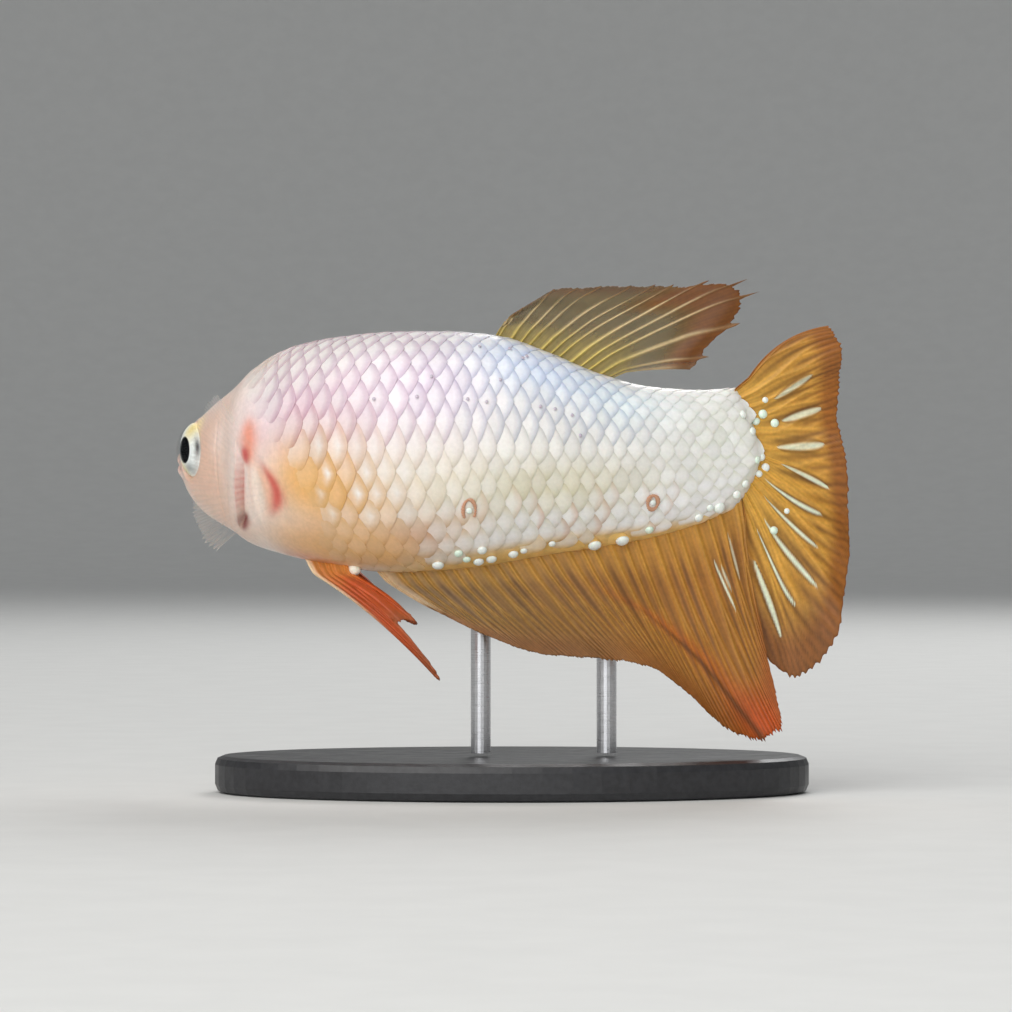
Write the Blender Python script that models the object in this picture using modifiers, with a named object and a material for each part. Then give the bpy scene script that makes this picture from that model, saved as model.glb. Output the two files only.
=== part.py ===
"""A Siamese fighting fish as a life-size still model on a plain display stand.

The fish swims towards -X with its head turned to +Y, away from a viewer at -Y.
Its body is a loft along a bent axis, and every fin is a fan of rays with a
membrane between them. The origin is the centre of the base's underside.
"""

import math

import bmesh
import bpy
import numpy as np

MM = 0.001
GAP = 0.3 * MM

# Body axis: the distance along the fish is measured from the snout backwards
BODY_LENGTH = 53.8 * MM
GILL = 14.0 * MM
BEND_MIDDLE = 22.5 * MM
BEND_END = 31.0 * MM
HEAD_YAW = math.radians(52.0)
BEND_MIDDLE_YAW = math.radians(27.0)
BEND_END_YAW = math.radians(3.0)
TAIL_YAW = math.radians(-8.0)
AXIS_OVERRUN = 3.0 * MM
AXIS_STEP = 0.1 * MM
TAIL_BASE_X = 18.6 * MM
TAIL_BASE_Y = -3.6 * MM
AXIS_HEIGHT = 27.2 * MM

# Body sections: distance from the snout, rise and drop from the axis, half width
SECTIONS = np.array((
    (0.0, 0.6, 1.0, 0.7),
    (0.8, 1.55, 2.35, 1.3),
    (2.0, 2.5, 3.6, 2.0),
    (4.5, 3.7, 5.0, 3.05),
    (7.0, 4.85, 5.85, 3.75),
    (10.0, 6.1, 6.75, 4.4),
    (12.0, 7.15, 7.3, 4.7),
    (14.0, 8.15, 7.85, 4.95),
    (18.0, 9.15, 8.5, 5.2),
    (23.0, 9.7, 9.2, 5.4),
    (26.0, 9.85, 9.45, 5.4),
    (30.0, 9.85, 9.3, 5.2),
    (34.0, 9.5, 8.8, 4.9),
    (38.0, 8.15, 8.1, 4.4),
    (42.0, 6.5, 7.5, 3.8),
    (46.0, 5.5, 6.8, 3.1),
    (50.0, 5.25, 5.7, 2.2),
    (53.8, 5.5, 4.25, 1.2),
    (56.0, 5.6, 3.9, 0.8),
)) * MM
BACK_FULLNESS = 2.2
BELLY_FULLNESS = 2.1
KEEL_FULLNESS = 1.75
KEEL_START = 24.0 * MM
KEEL_END = 36.0 * MM

# Where the body parts meet
GILL_SWEEP = 0.9 * MM
THROAT_SWEEP = 2.6 * MM
GILL_COVER_RISE = 0.35 * MM
GILL_COVER_LENGTH = 3.2 * MM
COVER_THICKNESS = 0.6 * MM
SHOULDER_SINK = 0.25 * MM
SHOULDER_LENGTH = 2.5 * MM
TAIL_CUT = 46.0 * MM
TAIL_END_SETBACK = 0.6 * MM
TAIL_END_BULGE = 1.9 * MM
RING = 36

# Eyes: flattened balls that look sideways and a little forward
EYE_STATION = 4.9 * MM
EYE_RISE = 0.55 * MM
EYE_OFFSET = 2.3 * MM
EYE_RADIUS = 2.3 * MM
EYE_DEPTH = 1.65 * MM
EYE_FORWARD = math.radians(14.0)

# Mouth: an upturned cleft with a lip above and below it
MOUTH_RISE = 0.1 * MM
MOUTH_PITCH = math.radians(38.0)
MOUTH_SLIT = 0.34 * MM
MOUTH_DEPTH = 1.7 * MM
LIP_RADIUS = 0.34 * MM
LIP_START = 0.05 * MM
LIP_REACH = 1.35 * MM
LIP_CORNER = 0.5
LOWER_LIP_DROP = 1.3
NOSTRIL_STATION = 2.0 * MM
NOSTRIL_ANGLE = math.radians(38.0)
NOSTRIL_RADIUS = 0.22 * MM
VENT_STATION = 23.0 * MM
VENT_RADIUS = 0.5 * MM

# Fins: thickness at the membrane and on the rays, at the root and at the tips
MEMBRANE_ROOT = 0.62 * MM
MEMBRANE_TIP = 0.5 * MM
RAY_ROOT = 1.0 * MM
RAY_TIP = 0.62 * MM
EDGE_THICKNESS = 0.3 * MM
FORK_START = 0.4
FORK_SPREAD = 0.24
UNFORKED_SPREAD = 0.14
NOTCH = 0.05
MEDIAN_FIN_GAP = 1.1 * GAP
SIDE_FIN_GAP = 1.3 * GAP
PECTORAL_GAP = 1.5 * GAP

# Fin outlines: share of the root from front to rear, ray length, lean above level
DORSAL_FRONT = 33.9 * MM
DORSAL_REAR = 43.3 * MM
DORSAL_CURL = 0.12
DORSAL_RAYS = (
    (0.0, 1.9, 46), (0.12, 4.7, 48), (0.25, 6.6, 41), (0.4, 9.1, 34),
    (0.55, 11.4, 30), (0.65, 13.0, 29), (0.75, 14.8, 25), (0.85, 12.6, 22),
    (0.93, 9.2, 19), (1.0, 5.3, 12),
)
ANAL_FRONT = 24.3 * MM
ANAL_REAR = 52.6 * MM
ANAL_CURL = -0.10
ANAL_RAYS = (
    (0.0, 6.4, -28), (0.1, 8.3, -37), (0.2, 9.8, -42), (0.35, 10.7, -46),
    (0.5, 11.6, -51), (0.62, 13.7, -59), (0.72, 16.4, -65), (0.8, 17.8, -67),
    (0.88, 17.6, -69), (0.94, 14.4, -75), (1.0, 8.3, -88),
)
CAUDAL_TOP = math.radians(24.0)
CAUDAL_BOTTOM = math.radians(152.0)
CAUDAL_ARCH = 0.16
CAUDAL_RAYS = (
    (0.0, 9.2, 33), (0.1, 8.9, 27), (0.2, 8.0, 18), (0.35, 6.7, 0),
    (0.5, 7.6, -23), (0.6, 9.2, -39), (0.7, 11.8, -54), (0.8, 14.4, -64),
    (0.87, 15.5, -74), (0.94, 13.3, -80), (1.0, 9.0, -85),
)
VENTRAL_FRONT = 18.2 * MM
VENTRAL_REAR = 21.6 * MM
VENTRAL_ANGLE = math.radians(166.0)
VENTRAL_TRAIL_YAW = math.radians(16.0)
VENTRAL_ARCH = 0.18
VENTRAL_SPLAY = 0.1
LEFT_VENTRAL_RAYS = (
    (0.0, 15.0, -37.5), (0.25, 14.7, -39), (0.5, 12.9, -41),
    (0.75, 10.4, -41), (1.0, 8.0, -40),
)
RIGHT_VENTRAL_AHEAD = 1.2 * MM
RIGHT_VENTRAL_RAYS = ((0.0, 10.3, -32), (0.5, 8.2, -37), (1.0, 4.8, -46))
PECTORAL_STATION = 17.8 * MM
PECTORAL_TOP = math.radians(93.0)
PECTORAL_BOTTOM = math.radians(118.0)
PECTORAL_RAYS = (
    (0.0, 6.6, 44), (0.2, 8.2, 33), (0.45, 9.2, 13), (0.7, 8.9, -6),
    (0.88, 7.8, -19), (1.0, 6.2, -30),
)
PECTORAL_SWEEP = math.radians(4.0)
PECTORAL_CUP = 0.16

# Stand
BASE_LENGTH = 48.0 * MM
BASE_WIDTH = 26.0 * MM
BASE_HEIGHT = 3.0 * MM
BASE_BEVEL = 0.7 * MM
ROD_RADIUS = 0.8 * MM
ROD_SIDE = 3.1 * MM
ROD_TOP = AXIS_HEIGHT - 3.0 * MM
ROD_GAP = 1.3 * GAP
ROD_CUT_REACH = 4.0 * MM
FRONT_ROD_STATION = 32.5 * MM
REAR_ROD_STATION = 43.0 * MM


def smooth_through(keys, values, at):
    """A curve through the keys that never overshoots them, read at the places in at."""
    keys = np.asarray(keys, float)
    values = np.asarray(values, float)
    at = np.asarray(at, float)
    span = np.diff(keys)
    slope = np.diff(values) / span
    tangent = np.zeros_like(values)
    rising = slope[:-1] * slope[1:] > 0
    tangent[1:-1][rising] = (2 * slope[:-1] * slope[1:] / (slope[:-1] + slope[1:] + 1e-30))[rising]
    tangent[0] = slope[0]
    tangent[-1] = slope[-1]
    i = np.clip(np.searchsorted(keys, at) - 1, 0, len(span) - 1)
    t = np.clip((at - keys[i]) / span[i], 0.0, 1.0)
    ends = values[i] * (1 + 2 * t) * (1 - t) ** 2 + values[i + 1] * t * t * (3 - 2 * t)
    return ends + span[i] * (tangent[i] * t * (1 - t) ** 2 + tangent[i + 1] * t * t * (t - 1))


def ease(value):
    """A smooth step from 0 to 1 as value goes from 0 to 1."""
    value = np.clip(value, 0.0, 1.0)
    return value * value * (3 - 2 * value)


def make_axis():
    """The bent body axis as arrays: distance from the snout, x, y and heading."""
    distance = np.arange(0.0, BODY_LENGTH + AXIS_OVERRUN, AXIS_STEP)
    heading = smooth_through(
        (0.0, GILL, BEND_MIDDLE, BEND_END, BODY_LENGTH, BODY_LENGTH + AXIS_OVERRUN),
        (HEAD_YAW, HEAD_YAW, BEND_MIDDLE_YAW, BEND_END_YAW, TAIL_YAW, TAIL_YAW),
        distance,
    )
    steps_x = np.cos(heading) * AXIS_STEP
    steps_y = -np.sin(heading) * AXIS_STEP
    x = np.cumsum(steps_x)
    y = np.cumsum(steps_y)
    x += TAIL_BASE_X - np.interp(BODY_LENGTH, distance, x)
    y += TAIL_BASE_Y - np.interp(BODY_LENGTH, distance, y)
    return distance, x, y, heading


AXIS = make_axis()


def along(station, height=0.0, side=0.0):
    """A point by its distance from the snout, height above the axis and offset to the fish's left."""
    distance, x, y, heading = AXIS
    yaw = np.interp(station, distance, heading)
    return np.stack(np.broadcast_arrays(
        np.interp(station, distance, x) - side * np.sin(yaw),
        np.interp(station, distance, y) - side * np.cos(yaw),
        AXIS_HEIGHT + height,
    ), axis=-1)


def rearward(station):
    """The level unit vector that points back along the body there."""
    yaw = np.interp(station, AXIS[0], AXIS[3])
    return np.stack(np.broadcast_arrays(np.cos(yaw), -np.sin(yaw), 0.0 * yaw), axis=-1)


def leftward(station):
    """The level unit vector to the fish's left there."""
    yaw = np.interp(station, AXIS[0], AXIS[3])
    return np.stack(np.broadcast_arrays(-np.sin(yaw), -np.cos(yaw), 0.0 * yaw), axis=-1)


def skin(station, angle, relief=0.0):
    """A point of the body's surface. The angle runs from 0 at the back over the left side to pi at the belly."""
    station, angle = np.broadcast_arrays(station, angle)
    rise, drop, half = (smooth_through(SECTIONS[:, 0], SECTIONS[:, k], station) for k in (1, 2, 3))
    rise, drop, half = rise + relief, drop + relief, half + relief
    keel = ease((station - KEEL_START) / (KEEL_END - KEEL_START))
    belly = BELLY_FULLNESS + (KEEL_FULLNESS - BELLY_FULLNESS) * keel
    power = 2.0 / np.where(np.cos(angle) >= 0, BACK_FULLNESS, belly)
    across = np.sign(np.sin(angle)) * np.abs(np.sin(angle)) ** power * half
    upright = np.abs(np.cos(angle)) ** power * np.where(np.cos(angle) >= 0, rise, -drop)
    return along(station, upright, across)


def skin_normal(station, angle):
    """The outward unit normal of the body's surface."""
    step_s = 0.2 * MM
    step_a = math.radians(1.0)
    back = skin(station + step_s, angle) - skin(station - step_s, angle)
    round_it = skin(station, angle + step_a) - skin(station, angle - step_a)
    normal = np.cross(round_it, back)
    normal /= np.linalg.norm(normal, axis=-1, keepdims=True)
    outward = skin(station, angle) - along(station)
    flip = np.sign(np.sum(normal * outward, axis=-1, keepdims=True))
    return normal * flip


def gill_edge(angle):
    """Where the head ends: the gill cover sweeps back at the sides and forward under the throat."""
    side = np.sin(angle) ** 2
    under = np.clip(-np.cos(angle), 0.0, 1.0) ** 2
    return GILL + GILL_SWEEP * side - THROAT_SWEEP * under


def tail_edge(angle):
    """Where the fleshy tail ends: a rounded line that bulges back at mid height."""
    depth = (1.0 - np.cos(angle)) / 2.0
    return BODY_LENGTH - TAIL_END_SETBACK + TAIL_END_BULGE * np.sin(math.pi * depth ** 1.15)


def material(name, colour, roughness, metallic=0.0):
    """A plain surface finish."""
    made = bpy.data.materials.new(name)
    made.use_nodes = True
    shader = made.node_tree.nodes["Principled BSDF"]
    shader.inputs["Base Color"].default_value = (*colour, 1.0)
    shader.inputs["Roughness"].default_value = roughness
    shader.inputs["Metallic"].default_value = metallic
    made.diffuse_color = (*colour, 1.0)
    return made


def add_mesh(name, points, faces, finish, collection):
    """A named mesh object from points and faces."""
    mesh = bpy.data.meshes.new(name)
    mesh.from_pydata([tuple(p) for p in points], [], faces)
    mesh.materials.append(finish)
    mesh.shade_smooth()
    mesh.set_sharp_from_angle(angle=math.radians(50))
    made = bpy.data.objects.new(name, mesh)
    collection.objects.link(made)
    return made


def loft(name, rings, finish, collection):
    """A closed solid through rings of points. Each end is zipped shut between its left and right side."""
    count, ring = rings.shape[:2]
    points = rings.reshape(-1, 3)
    faces = []
    for i in range(count - 1):
        for j in range(ring):
            k = (j + 1) % ring
            low, high = i * ring, (i + 1) * ring
            faces.append((low + j, low + k, high + k, high + j))
    half = ring // 2
    for first, turn in ((0, 1), ((count - 1) * ring, -1)):
        for j in range(half):
            left = (first + j, first + j + 1)
            right = (first + (ring - j - 1) % ring, first + (ring - j) % ring)
            corners = list(dict.fromkeys((left[0], right[1], right[0], left[1])))
            faces.append(tuple(corners[::turn]))
    return add_mesh(name, points, faces, finish, collection)


def ring_angles():
    return np.arange(RING) * (2 * math.pi / RING)


def flank_share(angle):
    """1 on the flanks, 0 at the back and a little less than 1 under the throat."""
    return np.sin(angle) ** 2 + 0.6 * np.clip(-np.cos(angle), 0.0, 1.0) ** 2


def head_rings():
    """Rings from the snout to the gill edge, where the gill cover stands proud of the shoulder."""
    near = np.array((0.0, 0.35, 0.8, 1.4, 2.1)) * MM
    far = np.linspace(3.0 * MM, GILL, 12)
    stations = np.concatenate((near, far))
    angle = ring_angles()[None, :]
    share = (stations / GILL)[:, None]
    station = stations[:, None] + (gill_edge(angle) - GILL) * share ** 3
    side = flank_share(angle)
    cover = ease(1.0 - (gill_edge(angle) - station) / GILL_COVER_LENGTH)
    rings = skin(station, angle, GILL_COVER_RISE * cover * side)
    inner = skin(gill_edge(angle), angle, -COVER_THICKNESS)
    return np.concatenate((rings, inner))


def torso_rings():
    """Rings from behind the gill cover to the tail cut."""
    angle = ring_angles()[None, :]
    start = gill_edge(angle) + GAP
    share = np.linspace(0.0, 1.0, 17)[:, None]
    station = start + (TAIL_CUT - start) * share
    side = flank_share(angle)
    sunk = 1.0 - ease((station - start) / SHOULDER_LENGTH)
    inner = skin(start, angle, -COVER_THICKNESS)
    return np.concatenate((inner, skin(station, angle, -SHOULDER_SINK * sunk * side)))


def tail_rings():
    """Rings from the tail cut to the root of the tail fin."""
    angle = ring_angles()[None, :]
    start = TAIL_CUT + GAP
    share = np.linspace(0.0, 1.0, 6)[:, None]
    return skin(start + (tail_edge(angle) - start) * share, angle)


def baked(obj):
    """Applies an object's modifiers."""
    bpy.context.view_layer.update()
    graph = bpy.context.evaluated_depsgraph_get()
    mesh = bpy.data.meshes.new_from_object(obj.evaluated_get(graph))
    obj.modifiers.clear()
    obj.data = mesh
    return obj


def keep_largest(obj):
    """Removes all but the largest closed surface of a mesh."""
    work = bmesh.new()
    work.from_mesh(obj.data)
    waiting = set(work.verts)
    shells = []
    while waiting:
        shell, edge = set(), [waiting.pop()]
        while edge:
            vert = edge.pop()
            shell.add(vert)
            for link in vert.link_edges:
                other = link.other_vert(vert)
                if other in waiting:
                    waiting.remove(other)
                    edge.append(other)
        shells.append(shell)
    shells.sort(key=len)
    for shell in shells[:-1]:
        bmesh.ops.delete(work, geom=list(shell), context="VERTS")
    work.to_mesh(obj.data)
    work.free()
    return obj


def boolean(obj, collection, operation):
    """Joins or cuts an object with every mesh of a collection, and applies it."""
    modifier = obj.modifiers.new(operation.title(), "BOOLEAN")
    modifier.operation = operation
    modifier.operand_type = "COLLECTION"
    modifier.collection = collection
    modifier.solver = "EXACT"
    baked(obj)
    for piece in list(collection.objects):
        bpy.data.objects.remove(piece)
    return keep_largest(obj)


def head_place(station, height, side):
    """A point of the straight head, as a plain vector."""
    return tuple(along(station, height, side))


def mouth_height(station):
    """The height of the mouth's cleft above the axis."""
    return MOUTH_RISE - station * math.tan(MOUTH_PITCH)


def flank_at(station, height):
    """The body's half width at a height above or below the axis."""
    rise, drop, half = (smooth_through(SECTIONS[:, 0], SECTIONS[:, k], station) for k in (1, 2, 3))
    share = np.clip(np.where(height >= 0, height / rise, -height / drop), 0.0, 1.0)
    power = np.where(height >= 0, BACK_FULLNESS, BELLY_FULLNESS)
    return half * (1.0 - share ** power) ** (1.0 / power)


def lip(name, lift, finish, collection):
    """A lip as a tube that runs round the snout beside the mouth's cleft and thins to its corners."""
    curve = bpy.data.curves.new(name, "CURVE")
    curve.dimensions = "3D"
    curve.bevel_depth = LIP_RADIUS
    curve.bevel_resolution = 1
    curve.use_fill_caps = True
    sides = np.linspace(-1.0, 1.0, 13)
    stations = LIP_START + LIP_REACH * np.abs(sides) ** 1.6
    heights = mouth_height(stations) + lift
    across = np.sign(sides) * np.abs(sides) ** 0.6 * flank_at(stations, heights)
    spline = curve.splines.new("POLY")
    spline.points.add(len(sides) - 1)
    for point, station, height, side, share in zip(spline.points, stations, heights, across, sides):
        point.co = (*head_place(station, height, side), 1.0)
        point.radius = 1.0 - LIP_CORNER * share ** 2
    tube = bpy.data.objects.new(name, curve)
    collection.objects.link(tube)
    bpy.context.view_layer.update()
    graph = bpy.context.evaluated_depsgraph_get()
    mesh = bpy.data.meshes.new_from_object(tube.evaluated_get(graph))
    bpy.data.objects.remove(tube)
    work = bmesh.new()
    work.from_mesh(mesh)
    bmesh.ops.remove_doubles(work, verts=work.verts, dist=0.01 * MM)
    bmesh.ops.recalc_face_normals(work, faces=work.faces)
    work.to_mesh(mesh)
    work.free()
    mesh.materials.append(finish)
    solid = bpy.data.objects.new(name, mesh)
    collection.objects.link(solid)
    return solid


def as_cutter(obj):
    obj.hide_render = True
    obj.display_type = "WIRE"
    return obj


def eye_ball(name, side, grown, finish, collection):
    """A flattened ball at an eye's place. side is 1 for the left eye and -1 for the right."""
    bpy.ops.mesh.primitive_uv_sphere_add(segments=20, ring_count=12, radius=1.0)
    ball = bpy.context.object
    ball.name = name
    for holder in list(ball.users_collection):
        holder.objects.unlink(ball)
    collection.objects.link(ball)
    ball.location = head_place(EYE_STATION, EYE_RISE, side * EYE_OFFSET)
    ball.rotation_euler = (0.0, 0.0, -HEAD_YAW - math.pi / 2 * side - side * EYE_FORWARD)
    ball.scale = (EYE_DEPTH + grown, EYE_RADIUS + grown, EYE_RADIUS + grown)
    bpy.context.view_layer.update()
    ball.data.transform(ball.matrix_world)
    ball.matrix_world.identity()
    ball.location = (0.0, 0.0, 0.0)
    ball.rotation_euler = (0.0, 0.0, 0.0)
    ball.scale = (1.0, 1.0, 1.0)
    ball.data.materials.append(finish)
    ball.data.shade_smooth()
    return ball


def rod_shape(name, place, radius, low, high, finish, collection):
    """A plain upright rod."""
    bpy.ops.mesh.primitive_cylinder_add(vertices=20, radius=radius, depth=high - low)
    rod = bpy.context.object
    rod.name = name
    for holder in list(rod.users_collection):
        holder.objects.unlink(rod)
    collection.objects.link(rod)
    rod.location = (place[0], place[1], (low + high) / 2)
    rod.data.materials.append(finish)
    rod.data.shade_smooth()
    rod.data.set_sharp_from_angle(angle=math.radians(40))
    return rod


def cut_head_features(head, collection, finish):
    """Fuses the lips to the head and cuts the eye sockets, the mouth's cleft and the nostrils."""
    lip("upper_lip", LIP_RADIUS, finish, collection)
    lip("lower_lip", -LOWER_LIP_DROP * LIP_RADIUS, finish, collection)
    boolean(head, collection, "UNION")
    for side in (1, -1):
        as_cutter(eye_ball("socket", side, GAP, finish, collection))
        spot = skin(NOSTRIL_STATION, side * NOSTRIL_ANGLE)
        pit = rod_shape("nostril", spot, NOSTRIL_RADIUS, -1 * MM, 1 * MM, finish, collection)
        pit.location = tuple(spot)
        as_cutter(pit)
    bpy.ops.mesh.primitive_cube_add(size=1.0)
    slit = bpy.context.object
    for holder in list(slit.users_collection):
        holder.objects.unlink(slit)
    collection.objects.link(slit)
    slit.scale = (2 * MOUTH_DEPTH, 8 * MM, MOUTH_SLIT)
    slit.rotation_euler = (0.0, MOUTH_PITCH, -HEAD_YAW)
    slit.location = head_place(0.0, mouth_height(0.0), 0.0)
    as_cutter(slit)
    boolean(head, collection, "DIFFERENCE")


def ray_columns(rays, forked):
    """Columns of a fin from front to rear: share of the root, and how much each is ray and fork."""
    columns = [(0.0, 1.0, 0.0, 0.0)]
    for i in range(rays):
        if forked:
            columns += [(i, 0.0, 0.0, 0.0), (i, 1.0, 0.0, -1.0), (i, 1.0, 1.0, 0.0), (i, 1.0, 0.0, 1.0)]
        else:
            columns += [(i, 0.0, 0.0, 0.0), (i, 1.0, 0.0, 0.0)]
    return columns[1:]


def fin(name, rays, rows, root_at, ray_at, bow_at, finish, collection, forked=True, thin=1.0):
    """A fan of rays joined by a membrane, as one closed body.

    root_at and ray_at give each ray's root and its straight line to the tip for shares
    from 0 at the front to 1 at the rear, and bow_at bends them: offset = bow_at(share, reach).
    Each ray is a ridge on both faces, which forks into two part of the way out.
    """
    down = np.linspace(0.0, 1.0, rows)[:, None]
    fork = ease((down - FORK_START) / 0.25) if forked else 0.0 * down
    share, ridge, valley = [], [], []
    for index, is_ray, is_middle, turn in ray_columns(rays, forked):
        offset = 0.5 + turn * (UNFORKED_SPREAD + (FORK_SPREAD - UNFORKED_SPREAD) * fork)
        if not is_ray:
            offset = 0.0 * fork
        share.append((index + offset) / rays + 0.0 * down)
        ridge.append(is_ray * (1.0 - is_middle * fork) + 0.0 * down)
        valley.append(1.0 - is_ray * (1.0 - 0.5 * is_middle * fork) + 0.0 * down)
    share.append(1.0 + 0.0 * down)
    ridge.append(1.0 + 0.0 * down)
    valley.append(0.0 * down)
    share, ridge, valley = (np.concatenate(part, axis=1) for part in (share, ridge, valley))
    ridge[:, 0] = 1.0
    valley[:, 0] = 0.0
    reach = down * (1.0 - NOTCH * valley * down)
    middle = root_at(share) + ray_at(share) * reach[..., None] + bow_at(share, reach)
    across = np.cross(np.gradient(middle, axis=0), np.gradient(middle, axis=1))
    across /= np.linalg.norm(across, axis=-1, keepdims=True)
    membrane = MEMBRANE_ROOT + (MEMBRANE_TIP - MEMBRANE_ROOT) * down
    ray = RAY_ROOT + (RAY_TIP - RAY_ROOT) * down
    thick = (membrane + (ray - membrane) * ridge) * thin
    thick[-1] = EDGE_THICKNESS
    shift = across * (thick / 2)[..., None]
    return close_fin(name, middle + shift, middle - shift, finish, collection)


def close_fin(name, front, back, finish, collection):
    """Joins two like grids into a closed body, split into triangles alike on both faces."""
    rows, columns = front.shape[:2]
    size = rows * columns
    at = np.arange(size).reshape(rows, columns)
    faces = []
    for i in range(rows - 1):
        for j in range(columns - 1):
            a, b, c, d = (int(k) for k in (at[i, j], at[i, j + 1], at[i + 1, j + 1], at[i + 1, j]))
            faces += [(a, b, c), (a, c, d)]
            faces += [(a + size, c + size, b + size), (a + size, d + size, c + size)]
    rim = np.concatenate((at[0, :-1], at[:-1, -1], at[-1, :0:-1], at[:0:-1, 0]))
    for k, here in enumerate(rim):
        there = int(rim[(k + 1) % len(rim)])
        here = int(here)
        faces += [(there, here, here + size), (there, here + size, there + size)]
    points = np.concatenate((front.reshape(-1, 3), back.reshape(-1, 3)))
    made = add_mesh(name, points, faces, finish, collection)
    work = bmesh.new()
    work.from_mesh(made.data)
    bmesh.ops.recalc_face_normals(work, faces=work.faces)
    work.to_mesh(made.data)
    work.free()
    return made


def outline(keys, share):
    """Ray length and lean at a share of the root, from a fin's outline."""
    keys = np.array(keys, float)
    length = smooth_through(keys[:, 0], keys[:, 1] * MM, share)
    lean = np.radians(smooth_through(keys[:, 0], keys[:, 2], share))
    return length[..., None], lean[..., None]


UP = np.array((0.0, 0.0, 1.0))


def median_fin(name, front, rear, edge, keys, rays, rows, sway, curl, finish, collection):
    """A fin on the body's midline. edge is pi below and 0 above; sway bends it sideways, curl in its plane."""
    def station(share):
        return front + (rear - front) * share

    def root_at(share):
        place = station(share)
        return skin(place, edge) + skin_normal(place, edge) * MEDIAN_FIN_GAP

    def ray_at(share):
        length, lean = outline(keys, share)
        return length * (np.cos(lean) * rearward(station(share)) + np.sin(lean) * UP)

    def bow_at(share, reach):
        length, lean = outline(keys, share)
        cross = np.cos(lean) * UP - np.sin(lean) * rearward(station(share))
        arch = (reach * (1 - reach))[..., None] * length * curl
        return arch * cross + sway(share, reach)[..., None] * leftward(station(share))

    return fin(name, rays, rows, root_at, ray_at, bow_at, finish, collection)


def dorsal_sway(share, reach):
    return 0.5 * MM * reach ** 2 * np.sin(7.0 * share + 1.0)


def anal_sway(share, reach):
    """Gentle waves, and one deep fold towards the rear that throws the last rays to the left."""
    fold = ease((share - 0.66) / 0.16) * (1.0 - 0.75 * ease((share - 0.9) / 0.1))
    return MM * reach ** 1.5 * (0.35 * np.sin(16.0 * share) - 0.55 * (1 - fold) + 1.3 * fold)


def caudal_fin(finish, collection):
    """The tail fin, whose rays fan out from the rounded end of the fleshy tail."""
    def station(share):
        return tail_edge(CAUDAL_TOP + (CAUDAL_BOTTOM - CAUDAL_TOP) * share)

    def root_at(share):
        angle = CAUDAL_TOP + (CAUDAL_BOTTOM - CAUDAL_TOP) * share
        rim = skin(station(share), angle)
        centre = along(station(share))
        rim[..., :2] = centre[..., :2]
        return rim + rearward(station(share)) * MEDIAN_FIN_GAP

    def ray_at(share):
        length, lean = outline(CAUDAL_RAYS, share)
        return length * (np.cos(lean) * rearward(station(share)) + np.sin(lean) * UP)

    def bow_at(share, reach):
        length, lean = outline(CAUDAL_RAYS, share)
        cross = np.cos(lean) * UP - np.sin(lean) * rearward(station(share))
        arch = (reach * (1 - reach))[..., None] * length * CAUDAL_ARCH
        ripple = 0.45 * MM * reach ** 2 * np.sin(19.0 * share)
        return arch * cross + ripple[..., None] * leftward(station(share))

    return fin("caudal_fin", 13, 9, root_at, ray_at, bow_at, finish, collection)


def ventral_fin(name, side, finish, collection):
    """One of the two long fins under the breast. The right one is shorter and held closer to the body."""
    trail = np.array((math.cos(VENTRAL_TRAIL_YAW), -math.sin(VENTRAL_TRAIL_YAW), 0.0))
    outward = np.array((-math.sin(VENTRAL_TRAIL_YAW), -math.cos(VENTRAL_TRAIL_YAW), 0.0)) * side
    keys = LEFT_VENTRAL_RAYS if side > 0 else RIGHT_VENTRAL_RAYS
    ahead = 0.0 if side > 0 else RIGHT_VENTRAL_AHEAD

    def station(share):
        return VENTRAL_FRONT - ahead + (VENTRAL_REAR - VENTRAL_FRONT) * share

    def root_at(share):
        angle = side * VENTRAL_ANGLE
        return skin(station(share), angle) + skin_normal(station(share), angle) * SIDE_FIN_GAP

    def ray_at(share):
        length, lean = outline(keys, share)
        return length * (np.cos(lean) * trail + np.sin(lean) * UP + VENTRAL_SPLAY * outward)

    def bow_at(share, reach):
        length, lean = outline(keys, share)
        cross = np.cos(lean) * UP - np.sin(lean) * trail
        arch = (reach * (1 - reach))[..., None] * length * VENTRAL_ARCH
        return arch * cross + 0.35 * MM * (reach * np.sin(3.0 * reach))[..., None] * outward

    return fin(name, 5, 10, root_at, ray_at, bow_at, finish, collection, forked=False)


def pectoral_fin(name, side, finish, collection):
    """A paddle that stands out from the flank behind the gill cover."""
    outward = leftward(PECTORAL_STATION) * side
    back = rearward(PECTORAL_STATION)
    reach_out = outward * math.cos(PECTORAL_SWEEP) + back * math.sin(PECTORAL_SWEEP)

    def angle(share):
        return side * (PECTORAL_TOP + (PECTORAL_BOTTOM - PECTORAL_TOP) * share)

    def root_at(share):
        normal = skin_normal(PECTORAL_STATION, angle(share))
        return skin(PECTORAL_STATION, angle(share)) + normal * PECTORAL_GAP

    def ray_at(share):
        length, lean = outline(PECTORAL_RAYS, share)
        return length * (np.cos(lean) * reach_out + np.sin(lean) * UP)

    def bow_at(share, reach):
        length, lean = outline(PECTORAL_RAYS, share)
        cupped = (reach * reach)[..., None] * length * PECTORAL_CUP * np.cos(2.0 * lean)
        return cupped * back

    return fin(name, 7, 7, root_at, ray_at, bow_at, finish, collection, forked=False, thin=0.85)


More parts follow.
